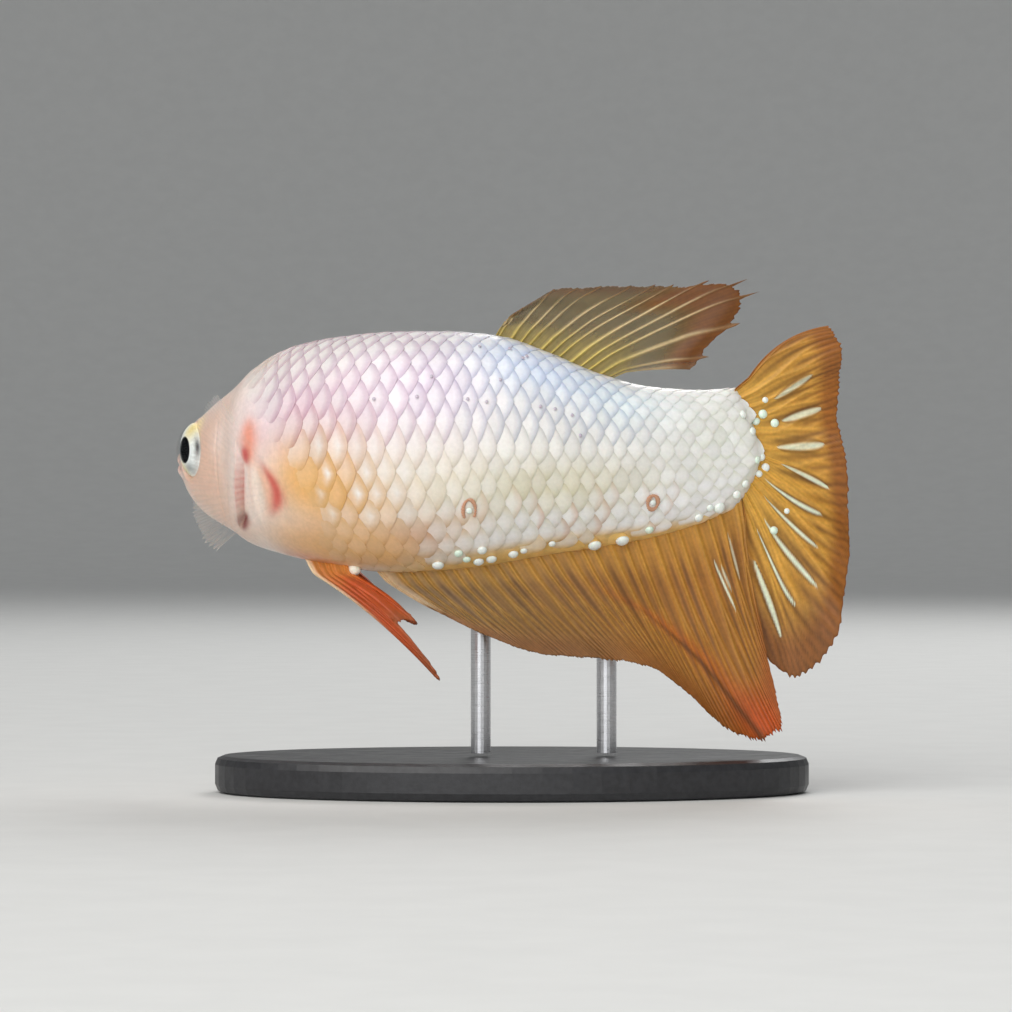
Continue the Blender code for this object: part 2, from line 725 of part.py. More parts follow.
def stand_base(finish, collection):
    """A flat oval base with a softened edge."""
    bpy.ops.mesh.primitive_cylinder_add(vertices=64, radius=0.5, depth=BASE_HEIGHT)
    base = bpy.context.object
    base.name = "stand_base"
    for holder in list(base.users_collection):
        holder.objects.unlink(base)
    collection.objects.link(base)
    base.location = (0.0, 0.0, BASE_HEIGHT / 2)
    bpy.context.view_layer.update()
    for vert in base.data.vertices:
        vert.co.x *= BASE_LENGTH
        vert.co.y *= BASE_WIDTH
    bevel = base.modifiers.new("Soft edge", "BEVEL")
    bevel.width = BASE_BEVEL
    bevel.segments = 2
    bevel.limit_method = "ANGLE"
    bevel.angle_limit = math.radians(60)
    base.data.materials.append(finish)
    return base


def stand_rod(name, station, finish, collection, cutters):
    """A rod from the base to the fish's right flank, cut to the flank's shape."""
    foot = along(station, 0.0, -ROD_SIDE)
    rod = rod_shape(name, foot, ROD_RADIUS, BASE_HEIGHT + GAP, ROD_TOP, finish, collection)
    angle = ring_angles()[None, :]
    stations = np.linspace(station - ROD_CUT_REACH, station + ROD_CUT_REACH, 9)[:, None]
    as_cutter(loft("flank", skin(stations, angle, ROD_GAP), finish, cutters))
    boolean(rod, cutters, "DIFFERENCE")
    return rod


def main():
    for obj in list(bpy.data.objects):
        bpy.data.objects.remove(obj)
    fish = bpy.data.collections.new("fighting_fish")
    pieces = bpy.data.collections.new("pieces")
    bpy.context.scene.collection.children.link(fish)
    bpy.context.scene.collection.children.link(pieces)

    scales = material("pearl scales", (0.86, 0.80, 0.80), 0.35)
    face = material("bare face skin", (0.85, 0.68, 0.60), 0.4)
    eye = material("eye", (0.80, 0.80, 0.72), 0.12)
    amber = material("amber fin", (0.72, 0.36, 0.08), 0.45)
    smoky = material("smoky dorsal fin", (0.55, 0.40, 0.16), 0.45)
    red = material("orange red ventral fin", (0.72, 0.24, 0.06), 0.45)
    clear = material("clear pectoral fin", (0.80, 0.78, 0.72), 0.35)
    base_paint = material("dark stand", (0.06, 0.06, 0.065), 0.45)
    steel = material("steel rod", (0.62, 0.62, 0.64), 0.3, 1.0)

    head = loft("head", head_rings(), face, fish)
    cut_head_features(head, pieces, face)
    for side, word in ((1, "left"), (-1, "right")):
        eye_ball(f"eye_{word}", side, 0.0, eye, fish)
    torso = loft("torso", torso_rings(), scales, fish)
    bpy.ops.mesh.primitive_uv_sphere_add(segments=12, ring_count=8, radius=VENT_RADIUS)
    vent = bpy.context.object
    for holder in list(vent.users_collection):
        holder.objects.unlink(vent)
    pieces.objects.link(vent)
    vent.location = tuple(skin(VENT_STATION, math.pi))
    vent.data.materials.append(scales)
    boolean(torso, pieces, "UNION")
    loft("tail", tail_rings(), scales, fish)

    median_fin("dorsal_fin", DORSAL_FRONT, DORSAL_REAR, 0.0, DORSAL_RAYS, 11, 8,
               dorsal_sway, DORSAL_CURL, smoky, fish)
    median_fin("anal_fin", ANAL_FRONT, ANAL_REAR, math.pi, ANAL_RAYS, 20, 8,
               anal_sway, ANAL_CURL, amber, fish)
    caudal_fin(amber, fish)
    for side, word in ((1, "left"), (-1, "right")):
        ventral_fin(f"ventral_fin_{word}", side, red, fish)
        pectoral_fin(f"pectoral_fin_{word}", side, clear, fish)

    stand_base(base_paint, fish)
    stand_rod("stand_rod_front", FRONT_ROD_STATION, steel, fish, pieces)
    stand_rod("stand_rod_rear", REAR_ROD_STATION, steel, fish, pieces)
    bpy.data.collections.remove(pieces)


main()
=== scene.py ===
"""The looks of a life-size Siamese fighting fish model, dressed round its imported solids.

One skin, a coat of scales, clear eyes and rayed fins take the place of the plain solids,
and the display stand keeps its own. The body's form is the one that the solids have.
Stations are distances along the fish from the snout backwards. Angles run round the body
from 0 at the back to pi at the belly, and are positive on the fish's left.
"""

import math

import bpy
import numpy as np
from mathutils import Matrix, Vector


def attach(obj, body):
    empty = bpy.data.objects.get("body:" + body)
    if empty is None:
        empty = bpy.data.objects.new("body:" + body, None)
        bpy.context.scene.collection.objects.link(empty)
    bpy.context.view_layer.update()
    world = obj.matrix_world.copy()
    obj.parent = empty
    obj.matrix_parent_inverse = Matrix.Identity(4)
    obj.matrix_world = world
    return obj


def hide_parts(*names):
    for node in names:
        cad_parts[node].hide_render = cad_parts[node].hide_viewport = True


bl_info = {
    "name": "Fighting Fish Looks",
    "version": (1, 0, 0),
    "blender": (4, 5, 0),
    "location": "View3D > Sidebar > Fighting Fish",
    "description": "Skin, scales, eyes and fins of a fighting fish model on a display stand",
    "category": "Object",
}

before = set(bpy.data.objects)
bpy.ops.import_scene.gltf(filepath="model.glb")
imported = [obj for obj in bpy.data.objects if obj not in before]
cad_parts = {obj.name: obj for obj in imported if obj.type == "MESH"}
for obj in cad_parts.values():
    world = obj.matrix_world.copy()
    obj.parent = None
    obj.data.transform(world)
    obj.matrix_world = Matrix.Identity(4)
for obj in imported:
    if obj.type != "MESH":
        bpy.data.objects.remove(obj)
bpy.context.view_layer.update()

MM = 0.001
BODY = "root"

# Body axis and sections, as in the part's source
BODY_LENGTH = 53.8 * MM
GILL = 14.0 * MM
BEND_MIDDLE = 22.5 * MM
BEND_END = 31.0 * MM
HEAD_YAW = math.radians(52.0)
BEND_MIDDLE_YAW = math.radians(27.0)
BEND_END_YAW = math.radians(3.0)
TAIL_YAW = math.radians(-8.0)
AXIS_OVERRUN = 3.0 * MM
AXIS_STEP = 0.1 * MM
TAIL_BASE_X = 18.6 * MM
TAIL_BASE_Y = -3.6 * MM
AXIS_HEIGHT = 27.2 * MM
SECTIONS = np.array((
    (0.0, 0.6, 1.0, 0.7),
    (0.8, 1.55, 2.35, 1.3),
    (2.0, 2.5, 3.6, 2.0),
    (4.5, 3.7, 5.0, 3.05),
    (7.0, 4.85, 5.85, 3.75),
    (10.0, 6.1, 6.75, 4.4),
    (12.0, 7.15, 7.3, 4.7),
    (14.0, 8.15, 7.85, 4.95),
    (18.0, 9.15, 8.5, 5.2),
    (23.0, 9.7, 9.2, 5.4),
    (26.0, 9.85, 9.45, 5.4),
    (30.0, 9.85, 9.3, 5.2),
    (34.0, 9.5, 8.8, 4.9),
    (38.0, 8.15, 8.1, 4.4),
    (42.0, 6.5, 7.5, 3.8),
    (46.0, 5.5, 6.8, 3.1),
    (50.0, 5.25, 5.7, 2.2),
    (53.8, 5.5, 4.25, 1.2),
    (56.0, 5.6, 3.9, 0.8),
)) * MM
BACK_FULLNESS = 2.2
BELLY_FULLNESS = 2.1
KEEL_FULLNESS = 1.75
KEEL_START = 24.0 * MM
KEEL_END = 36.0 * MM
GILL_SWEEP = 0.9 * MM
THROAT_SWEEP = 2.6 * MM
GILL_COVER_RISE = 0.35 * MM
GILL_COVER_LENGTH = 3.2 * MM
SHOULDER_SINK = 0.25 * MM
SHOULDER_LENGTH = 2.5 * MM
TAIL_END_SETBACK = 0.6 * MM
TAIL_END_BULGE = 1.9 * MM
SNOUT_ROUNDING = 0.9 * MM
TAIL_TAPER = 1.2 * MM

# Face
EYE_STATION = 4.9 * MM
EYE_RISE = 0.55 * MM
EYE_OFFSET = 2.3 * MM
EYE_RADIUS = 2.3 * MM
EYE_DEPTH = 1.65 * MM
EYE_FORWARD = math.radians(14.0)
IRIS_DEPTH = 1.28 * MM
CORNEA_RADIUS = 2.12 * MM
PUPIL_RADIUS = 1.05 * MM
PUPIL_BACK = 0.08 * MM
PUPIL_SINK = 0.16 * MM
PUPIL_EDGE = 0.1 * MM
BALL_RING = 96
BALL_FRONT_RINGS = 44
BALL_REAR_RINGS = 12
CORNEA_RING = 64
CORNEA_RINGS = 20
CORNEA_GAP = 0.015 * MM
CORNEA_FOOT = 0.02 * MM
MOUTH_RISE = 0.1 * MM
MOUTH_PITCH = math.radians(38.0)
FRONT_NOSTRIL = (2.0 * MM, math.radians(38.0), 0.2 * MM)
REAR_NOSTRIL = (3.15 * MM, math.radians(31.0), 0.15 * MM)

# Fins: share of the root, ray length in mm, lean in degrees. They follow the part's source, and a few
# rays at the ends of a fin are drawn out to where the photo has them
DORSAL_FRONT = 33.9 * MM
DORSAL_REAR = 43.3 * MM
DORSAL_CURL = 0.12
DORSAL_RAYS = (
    (0.0, 1.9, 46), (0.12, 4.7, 48), (0.25, 6.6, 41), (0.4, 9.1, 34),
    (0.55, 11.5, 30), (0.65, 13.6, 29), (0.75, 15.8, 25), (0.85, 13.6, 21),
    (0.93, 9.5, 14), (1.0, 6.6, 3),
)
ANAL_FRONT = 24.3 * MM
ANAL_REAR = 53.7 * MM
ANAL_CURL = -0.10
ANAL_RAYS = (
    (0.0, 6.4, -28), (0.1, 8.1, -37), (0.2, 9.4, -42), (0.35, 10.2, -46),
    (0.5, 11.3, -51), (0.62, 13.6, -59), (0.72, 16.4, -65), (0.8, 17.8, -67),
    (0.88, 17.5, -69), (0.94, 14.7, -73.5), (1.0, 9.2, -81.5),
)
CAUDAL_TOP = math.radians(15.0)
CAUDAL_BOTTOM = math.radians(159.0)
CAUDAL_ARCH = 0.16
CAUDAL_TOP_ARCH = 0.36
CAUDAL_RAYS = (
    (0.0, 8.9, 35), (0.1, 8.9, 28), (0.2, 8.1, 18), (0.35, 6.7, 0),
    (0.5, 7.6, -23), (0.6, 9.2, -39), (0.7, 11.8, -54), (0.8, 14.4, -64),
    (0.87, 15.5, -74), (0.94, 14.0, -79), (0.97, 11.4, -85), (1.0, 8.4, -98),
)
VENTRAL_FRONT = 17.5 * MM
VENTRAL_REAR = 21.9 * MM
VENTRAL_ANGLE = math.radians(166.0)
VENTRAL_TRAIL_YAW = math.radians(16.0)
VENTRAL_ARCH = 0.18
VENTRAL_SPLAY = 0.1
LEFT_VENTRAL_RAYS = (
    (0.0, 15.9, -37), (0.16, 15.4, -37.8), (0.33, 14.5, -38.3), (0.48, 12.8, -38), (0.59, 10.4, -37),
    (0.66, 8.2, -36), (0.74, 7.8, -34), (0.87, 8.4, -31), (1.0, 7.0, -31),
)
RIGHT_VENTRAL_AHEAD = 1.2 * MM
RIGHT_VENTRAL_RAYS = ((0.0, 10.3, -32), (0.5, 8.2, -37), (1.0, 4.8, -46))
PECTORAL_STATION = 17.8 * MM
PECTORAL_TOP = math.radians(93.0)
PECTORAL_BOTTOM = math.radians(118.0)
PECTORAL_SWEEP = math.radians(4.0)
PECTORAL_CUP = 0.16
PECTORAL_RAYS = (
    (0.0, 7.6, 46), (0.2, 8.8, 34), (0.45, 9.8, 13), (0.7, 9.9, -6),
    (0.88, 9.0, -18), (1.0, 7.4, -28),
)
SOLID_FIN_GAP = 0.33 * MM
ROOT_SINK = 0.7 * MM
FREE_EDGE = 0.03 * MM
END_EDGE = 0.08 * MM

# The skin's grid: its columns, the rings on the snout's rounding, then number and station in mm of a few
# rings, which lie closest at the eyes and at the gill's edge
SKIN_COLUMNS = 224
SNOUT_RINGS = 24
RING_KEYS = (
    (34.0, 2.3), (152.0, 7.6), (196.0, 13.2), (262.0, 15.2), (292.0, 19.0), (345.0, 52.0), (362.0, 53.8),
)
TAIL_RINGS_FROM = 44.0

# Coat of scales
SCALE_ROWS = 16.5
SCALES_IN_ROW = 44
FIRST_SCALE = 9.0 * MM
SCALE_START = (
    (0, 40, 56, 70, 90, 112, 128, 150, 165, 180),
    (12.6, 13.4, 15.2, 17.0, 19.6, 21.2, 21.0, 20.8, 23.0, 24.5),
)
SCALE_ACROSS = 7
SCALE_ALONG = (0.0, 0.3, 0.55, 0.75, 0.88, 0.955, 1.0)
SCALE_OVERLAP = 1.02
SCALE_ROOT_SINK = 0.05 * MM
SCALE_CAMBER = 0.03 * MM
SCALE_LIP = 0.02 * MM
SCALE_THICKNESS = 0.055 * MM
SEED = 11

# The unwrapped skin, on which every scale and bead has a patch at its root
UNWRAP_LENGTH = BODY_LENGTH + AXIS_OVERRUN
UNWRAP_TURN = 2.1 * math.pi
PATCH_HALF = 0.0015

# Where the photo's camera stood: 12.5 of its pixels cover a millimetre at the body
PIXELS = 1012
PIXELS_PER_MM = 12.5
CAMERA_DISTANCE = 340.0 * MM
CAMERA_X = -0.48 * MM
CAMERA_Z = 23.12 * MM
BODY_PLANE_Y = -3.5 * MM
SENSOR_MM = 36.0

# Soft lights: name, place, width, power and colour
LIGHTS = (
    ("key", (-0.24, -0.36, 0.42), 0.55, 2.35, (1.0, 0.98, 0.95)),
    ("fill", (-0.10, -0.50, 0.06), 0.50, 1.5, (0.96, 0.98, 1.0)),
    ("rim", (0.15, 0.42, 0.40), 0.30, 1.2, (1.0, 1.0, 1.0)),
)
LIGHT_AIM = (0.0, -0.003, 0.026)
SKY_COLOUR = (0.92, 0.95, 1.0, 1.0)
SKY_STRENGTH = 0.34

# Backdrop: a flat floor, a curve and an upright wall, all round the fish
FLOOR_RADIUS = 0.9
FLOOR_RINGS = 12
CURVE_RADIUS = 0.5
CURVE_RINGS = 24
WALL_HEIGHT = 1.1
BACKDROP_RING = 96

UP = np.array((0.0, 0.0, 1.0))

# Most of a noise lies between these two values, and most of a fine fleck between the next two
NOISE_LOW = 0.3
NOISE_HIGH = 0.7
FLECK_LOW = 0.35
FLECK_HIGH = 0.65


def smooth_through(keys, values, at):
    """A curve through the keys that never overshoots them, read at the places in at."""
    keys = np.asarray(keys, float)
    values = np.asarray(values, float)
    at = np.asarray(at, float)
    span = np.diff(keys)
    slope = np.diff(values) / span
    tangent = np.zeros_like(values)
    rising = slope[:-1] * slope[1:] > 0
    tangent[1:-1][rising] = (2 * slope[:-1] * slope[1:] / (slope[:-1] + slope[1:] + 1e-30))[rising]
    tangent[0] = slope[0]
    tangent[-1] = slope[-1]
    i = np.clip(np.searchsorted(keys, at) - 1, 0, len(span) - 1)
    t = np.clip((at - keys[i]) / span[i], 0.0, 1.0)
    ends = values[i] * (1 + 2 * t) * (1 - t) ** 2 + values[i + 1] * t * t * (3 - 2 * t)
    return ends + span[i] * (tangent[i] * t * (1 - t) ** 2 + tangent[i + 1] * t * t * (t - 1))


def ease(value):
    """A smooth step from 0 to 1 as value goes from 0 to 1."""
    value = np.clip(value, 0.0, 1.0)
    return value * value * (3 - 2 * value)


def bell(value, width):
    """1 at 0, falling off smoothly to about a third at the width."""
    return np.exp(-(value / width) ** 2)


def ring_angles(count):
    """Evenly spaced angles, once round."""
    return np.arange(count) * (2 * math.pi / count)


def unit(vectors):
    """The same vectors, each one long."""
    return vectors / np.maximum(np.linalg.norm(vectors, axis=-1, keepdims=True), 1e-12)


def linear(colour):
    """A displayed colour as the light that shows it."""
    colour = np.asarray(colour, float)
    return np.where(colour <= 0.04045, colour / 12.92, ((colour + 0.055) / 1.055) ** 2.4)


def blend(below, above, share):
    """Colour above over colour below, by share."""
    share = np.clip(np.asarray(share, float), 0.0, 1.0)[..., None]
    return below + (above - below) * share


def make_axis():
    """The bent body axis as arrays: distance from the snout, x, y and heading."""
    distance = np.arange(0.0, BODY_LENGTH + AXIS_OVERRUN, AXIS_STEP)
    heading = smooth_through(
        (0.0, GILL, BEND_MIDDLE, BEND_END, BODY_LENGTH, BODY_LENGTH + AXIS_OVERRUN),
        (HEAD_YAW, HEAD_YAW, BEND_MIDDLE_YAW, BEND_END_YAW, TAIL_YAW, TAIL_YAW),
        distance,
    )
    x = np.cumsum(np.cos(heading) * AXIS_STEP)
    y = np.cumsum(-np.sin(heading) * AXIS_STEP)
    x += TAIL_BASE_X - np.interp(BODY_LENGTH, distance, x)
    y += TAIL_BASE_Y - np.interp(BODY_LENGTH, distance, y)
    return distance, x, y, heading


AXIS = make_axis()


def along(station, height=0.0, side=0.0):
    """A point by its distance from the snout, height above the axis and offset to the fish's left."""
    distance, x, y, heading = AXIS
    yaw = np.interp(station, distance, heading)
    return np.stack(np.broadcast_arrays(
        np.interp(station, distance, x) - side * np.sin(yaw),
        np.interp(station, distance, y) - side * np.cos(yaw),
        AXIS_HEIGHT + height,
    ), axis=-1)


def rearward(station):
    """The level unit vector that points back along the body there."""
    yaw = np.interp(station, AXIS[0], AXIS[3])
    return np.stack(np.broadcast_arrays(np.cos(yaw), -np.sin(yaw), 0.0 * yaw), axis=-1)


def leftward(station):
    """The level unit vector to the fish's left there."""
    yaw = np.interp(station, AXIS[0], AXIS[3])
    return np.stack(np.broadcast_arrays(-np.sin(yaw), -np.cos(yaw), 0.0 * yaw), axis=-1)


def gill_edge(angle):
    """Where the gill cover ends: it sweeps back at the sides and forward under the throat."""
    under = np.clip(-np.cos(angle), 0.0, 1.0) ** 2
    return GILL + GILL_SWEEP * np.sin(angle) ** 2 - THROAT_SWEEP * under


def tail_edge(angle):
    """Where the fleshy tail ends: a rounded line that bulges back at mid height."""
    depth = (1.0 - np.cos(angle)) / 2.0
    return BODY_LENGTH - TAIL_END_SETBACK + TAIL_END_BULGE * np.sin(math.pi * depth ** 1.15)


def flank_share(angle):
    """1 on the flanks, 0 at the back and a little less than 1 under the throat."""
    return np.sin(angle) ** 2 + 0.6 * np.clip(-np.cos(angle), 0.0, 1.0) ** 2


def flesh(station, angle, relief=0.0, least_taper=0.0):
    """A point of the body. Each section is a pair of half superellipses about the bent axis, raised by
    relief. The snout is rounded like a ball's end, and the tail thins to an edge like half an
    ellipse."""
    station, angle = np.broadcast_arrays(np.asarray(station, float), np.asarray(angle, float))
    keys, *columns = SECTIONS.T
    rise, drop, half = (smooth_through(keys, values, station) + relief for values in columns)
    cap = np.sqrt(1.0 - (1.0 - np.clip(station / SNOUT_ROUNDING, 0.0, 1.0)) ** 2)
    end = np.clip((station - tail_edge(angle)) / TAIL_TAPER + 1.0, 0.0, 1.0)
    half = half * np.maximum(np.sqrt(1.0 - end ** 2), least_taper)
    keel = ease((station - KEEL_START) / (KEEL_END - KEEL_START))
    belly = BELLY_FULLNESS + (KEEL_FULLNESS - BELLY_FULLNESS) * keel
    above = np.cos(angle) >= 0
    power = 2.0 / np.where(above, BACK_FULLNESS, belly)
    across = np.sign(np.sin(angle)) * np.abs(np.sin(angle)) ** power * half
    upright = np.abs(np.cos(angle)) ** power * np.where(above, rise, -drop)
    return along(station, upright * cap, across * cap)


def facing_out(normal, station, place):
    """The normals, each turned away from the body's axis."""
    outward = np.sum(normal * (place - along(station)), axis=-1, keepdims=True)
    return normal * np.where(outward < 0, -1.0, 1.0)


def flesh_normal(station, angle):
    """The outward unit normal of the body, from the cross product of small steps along and round it."""
    step_s = 0.15 * MM
    step_a = math.radians(0.8)
    back = flesh(station + step_s, angle, 0.0, 0.3) - flesh(station - step_s, angle, 0.0, 0.3)
    round_it = flesh(station, angle + step_a, 0.0, 0.3) - flesh(station, angle - step_a, 0.0, 0.3)
    return facing_out(unit(np.cross(round_it, back)), station, flesh(station, angle))


def coat_start(angle):
    """The station of the first scales at each angle."""
    return smooth_through(SCALE_START[0], SCALE_START[1], np.degrees(np.abs(angle))) * MM


def gill_relief(station, angle):
    """The gill cover's edge stands proud, with a narrow slit behind it that closes towards the nape and
    under the throat."""
    local = station - gill_edge(angle)
    degrees = np.degrees(np.abs(angle))
    flank = flank_share(angle)
    opening = ease((degrees - 82) / 16) * (1 - ease((degrees - 128) / 12))
    front = GILL_COVER_RISE * flank * ease(1 + local / GILL_COVER_LENGTH)
    open_side = -SHOULDER_SINK * flank * (1 - ease(local / SHOULDER_LENGTH))
    shut_side = GILL_COVER_RISE * flank * (1 - ease(local / GILL_COVER_LENGTH))
    behind = opening * open_side + (1 - opening) * shut_side
    slit = -0.3 * MM * opening * bell(local - 0.18 * MM, 0.15 * MM) * (local > 0)
    return np.where(local <= 0, front, behind + slit)


def shoulder_relief(station, angle):
    """The pale ridge behind the gill, the pad that carries the breast fin, and the hollow behind it."""
    st = station / MM
    degrees = np.degrees(np.abs(angle))
    beside = ease((degrees - 84) / 10) * (1 - ease((degrees - 124) / 14))
    ridge = 0.17 * bell(st - 16.5, 0.55) * beside
    pad = 0.22 * bell(st - 17.8, 0.8) * bell(degrees - 106, 15)
    hollow = -0.14 * bell(st - 18.9, 0.35) * beside
    return (ridge + pad + hollow) * MM


def cheek_relief(station, angle):
    """Shallow grooves where the bones of the cheek and the gill cover meet."""
    st = station / MM
    degrees = np.degrees(np.abs(angle))
    bow = 9.9 + 1.1 * np.cos(np.radians(degrees - 95) * 1.6)
    inner = -0.07 * bell(st - bow, 0.16) * ease((degrees - 62) / 14) * (1 - ease((degrees - 136) / 10))
    rear = gill_edge(angle) / MM - 1.7
    lower = -0.05 * bell(st - rear, 0.14) * ease((degrees - 98) / 10) * (1 - ease((degrees - 150) / 10))
    throat = -0.05 * bell(np.sin((degrees - 140) * 0.42), 0.25) * ease((degrees - 140) / 6)
    throat = throat * ease((st - 6.5) / 1.5) * (1 - ease((st - 11.0) / 1.0))
    return (inner + lower + throat) * MM


def eye_axes(side):
    """An eye's centre and its unit vectors: outwards, back along the head, and up."""
    centre = along(EYE_STATION, EYE_RISE, side * EYE_OFFSET)
    turn = -HEAD_YAW - side * (math.pi / 2 + EYE_FORWARD)
    out = np.array((math.cos(turn), math.sin(turn), 0.0))
    back = np.cross(UP, out)
    back = back * np.sign(np.dot(back, rearward(EYE_STATION)))
    return centre, out, back


def mouth_offset(station, height):
    """The distance above the mouth's line, which falls back from the snout."""
    line = MOUTH_RISE - station * math.tan(MOUTH_PITCH)
    return (height - line) * math.cos(MOUTH_PITCH)


def nostril_distances(place):
    """The distance from each nostril's middle in turn, in its own radii."""
    for station, angle, radius in (FRONT_NOSTRIL, REAR_NOSTRIL):
        for side in (1, -1):
            yield np.linalg.norm(place - flesh(station, side * angle), axis=-1) / radius


def face_relief(station, place):
    """Lips round a cleft, two pairs of nostrils, and a socket with a soft rim for each eye."""
    height = place[..., 2] - AXIS_HEIGHT
    gape = mouth_offset(station, height) / MM
    fade = 1 - ease((station / MM - 0.95) / 0.75)
    lips = 0.20 * bell(gape - 0.33, 0.22) + 0.26 * bell(gape + 0.38, 0.24)
    relief = fade * (lips - 0.34 * bell(gape, 0.10))
    corner = bell(station / MM - 1.75, 0.3) * bell(gape + 0.1, 0.3)
    relief = relief - 0.10 * corner
    for away in nostril_distances(place):
        relief = relief - 0.18 * bell(away, 0.8) + 0.08 * bell(away - 1.5, 0.45)
    for side in (1, -1):
        centre, out, _ = eye_axes(side)
        offset = place - centre
        depth = np.sum(offset * out, axis=-1)
        flat = np.sqrt(np.maximum(np.sum(offset ** 2, axis=-1) - depth ** 2, 0.0)) / MM
        near = ease((depth / MM + 1.2) / 0.5)
        socket = -1.3 * (1 - ease((flat - 2.16) / 0.2))
        proud = np.maximum(depth / MM - 0.42 - 0.35 * (flat - 2.2), 0.0) * (1 - ease((flat - 2.5) / 1.5))
        relief = relief + near * (socket - proud + 0.08 * bell(flat - 2.5, 0.2))
    return relief * MM


def body_relief(station, angle):
    """All the relief behind the face, with the coat's depth taken off under the scales."""
    sizes = bpy.context.scene.fish_sizes
    coat = sizes.coat_depth * ease((station - coat_start(angle) + 0.3 * MM) / (1.2 * MM))
    return gill_relief(station, angle) + shoulder_relief(station, angle) - coat


# Colours along the gill slit from the nape down: name, distance behind the cover's edge in mm, angle in
# degrees, spread, reach in mm, strength
SLIT_COLOURS = (
    ("gill_salmon", 1.40, 84, 11, 0.92, 0.85),
    ("gill_red", 0.98, 90.5, 3.8, 0.60, 1.0),
    ("gill_plum", 0.16, 109, 15, 0.36, 0.85),
    ("gill_dark", 0.56, 132, 7.0, 0.80, 1.0),
)
# Soft marks on the skin, laid one over another like an airbrush. Each row holds its colour, the
# station in mm and the angle in degrees of its middle, its reach along and round, strength, edge.
MARKS = (
    ("nape", 13.0, 8, 9.0, 56, 1.0, 1.0),
    ("throat", 15.2, 30, 1.3, 9, 0.55, 1.0),
    ("shoulder_pink", 21.5, 72, 5.5, 24, 0.95, 1.0),
    ("lavender", 29.0, 58, 4.8, 30, 0.8, 1.0),
    ("sky", 37.5, 36, 5.6, 24, 0.95, 1.3),
    ("mint", 45.0, 46, 4.6, 26, 0.8, 1.0),
    ("straw", 38.5, 0, 6.5, 9, 0.7, 1.0),
    ("silver", 52.0, 80, 4.5, 60, 0.85, 1.0),
    ("cream", 29.0, 102, 5.0, 18, 0.8, 1.0),
    ("straw", 38.5, 114, 9.0, 21, 0.85, 1.0),
    ("apricot", 24.3, 116, 3.4, 14, 0.65, 1.3),
    ("apricot", 21.4, 102, 3.7, 22, 0.95, 1.3),
    ("belly_tan", 31.0, 128, 2.2, 10, 0.6, 1.0),
    ("belly_tan", 24.5, 146, 6.5, 27, 0.95, 1.6),
    ("rust_mark", 28.6, 133, 1.8, 8, 0.45, 1.0),
    ("belly_tan", 19.0, 146, 3.5, 24, 0.7, 1.0),
    ("breast_orange", 19.0, 166, 3.2, 13, 0.9, 1.4),
    ("fin_root", 39.5, 180, 14.8, 36, 0.95, 4.0),
    ("cheek", 7.5, 90, 6.8, 84, 1.0, 1.6),
    ("nape", 7.0, 0, 7.5, 50, 0.9, 1.0),
    ("throat", 11.0, 142, 5.5, 30, 0.75, 1.0),
    ("lip_rose", 0.4, 90, 1.6, 200, 0.5, 1.2),
    ("nape", 11.6, 80, 1.8, 13, 0.45, 1.0),
    ("iris_gold", 6.1, 62, 1.3, 15, 0.75, 1.3),
    ("band_white", 16.5, 106, 0.85, 20, 1.0, 2.0),
    ("band_white", 15.6, 122, 1.2, 12, 0.6, 1.5),
)


def palette():
    """The user's colours by name, as light."""
    colours = bpy.context.scene.fish_colours
    return {name: linear(getattr(colours, name)) for name in FishColours.__annotations__}


def body_tint(station, angle):
    """The skin's colour: the marks over a pearly ground. A mark is a soft oval of
    strength * exp(-(d^2)^edge), where d is the distance from its middle in reaches. The low flank is
    combed by fine upright lines. The gill slit's colours follow the gill cover's edge, and the hollow
    behind the breast fin is a crescent of red skin and painted shade, with a pale rim in front."""
    colours = palette()
    st = station / MM
    degrees = np.degrees(np.abs(angle))
    tint = np.broadcast_to(colours["pearl"], np.broadcast(st, degrees).shape + (3,)).copy()
    for name, at_station, at_angle, reach, spread, strength, edge in MARKS:
        away = ((st - at_station) / reach) ** 2 + ((degrees - at_angle) / spread) ** 2
        tint = blend(tint, colours[name], strength * np.exp(-away ** edge))
    combed = ease((degrees - 146) / 8) * ease((st - 26) / 3)
    tint = tint * (1 - 0.10 * combed * (1 + np.sin(6.5 * st + 0.09 * degrees)))[..., None]
    bowed = st - 18.65 + 0.0041 * (degrees - 110) ** 2
    beside = np.exp(-((degrees - 108.5) / 14) ** 4)
    tint = blend(tint, colours["peach"], 0.9 * bell(bowed + 0.62, 0.36) * beside)
    # Red skin with painted shade in the hollow behind the breast fin
    hollow_width = 0.36 + 0.14 * ease((degrees - 104) / 10)
    tint = blend(tint, colours["axil_red"], bell(bowed, hollow_width) * beside)
    behind = (station - gill_edge(angle)) / MM
    for name, at_behind, at_angle, spread, reach, strength in SLIT_COLOURS:
        narrow = reach * (1 - 0.35 * np.clip(np.abs(degrees - at_angle) / spread, 0, 1))
        mark = bell(behind - at_behind, narrow) * np.exp(-((degrees - at_angle) / spread) ** 4)
        if name == "gill_plum":
            mark = mark * (0.75 + 0.25 * np.sin(degrees * 2.4))
        tint = blend(tint, colours[name], strength * mark)
    return tint


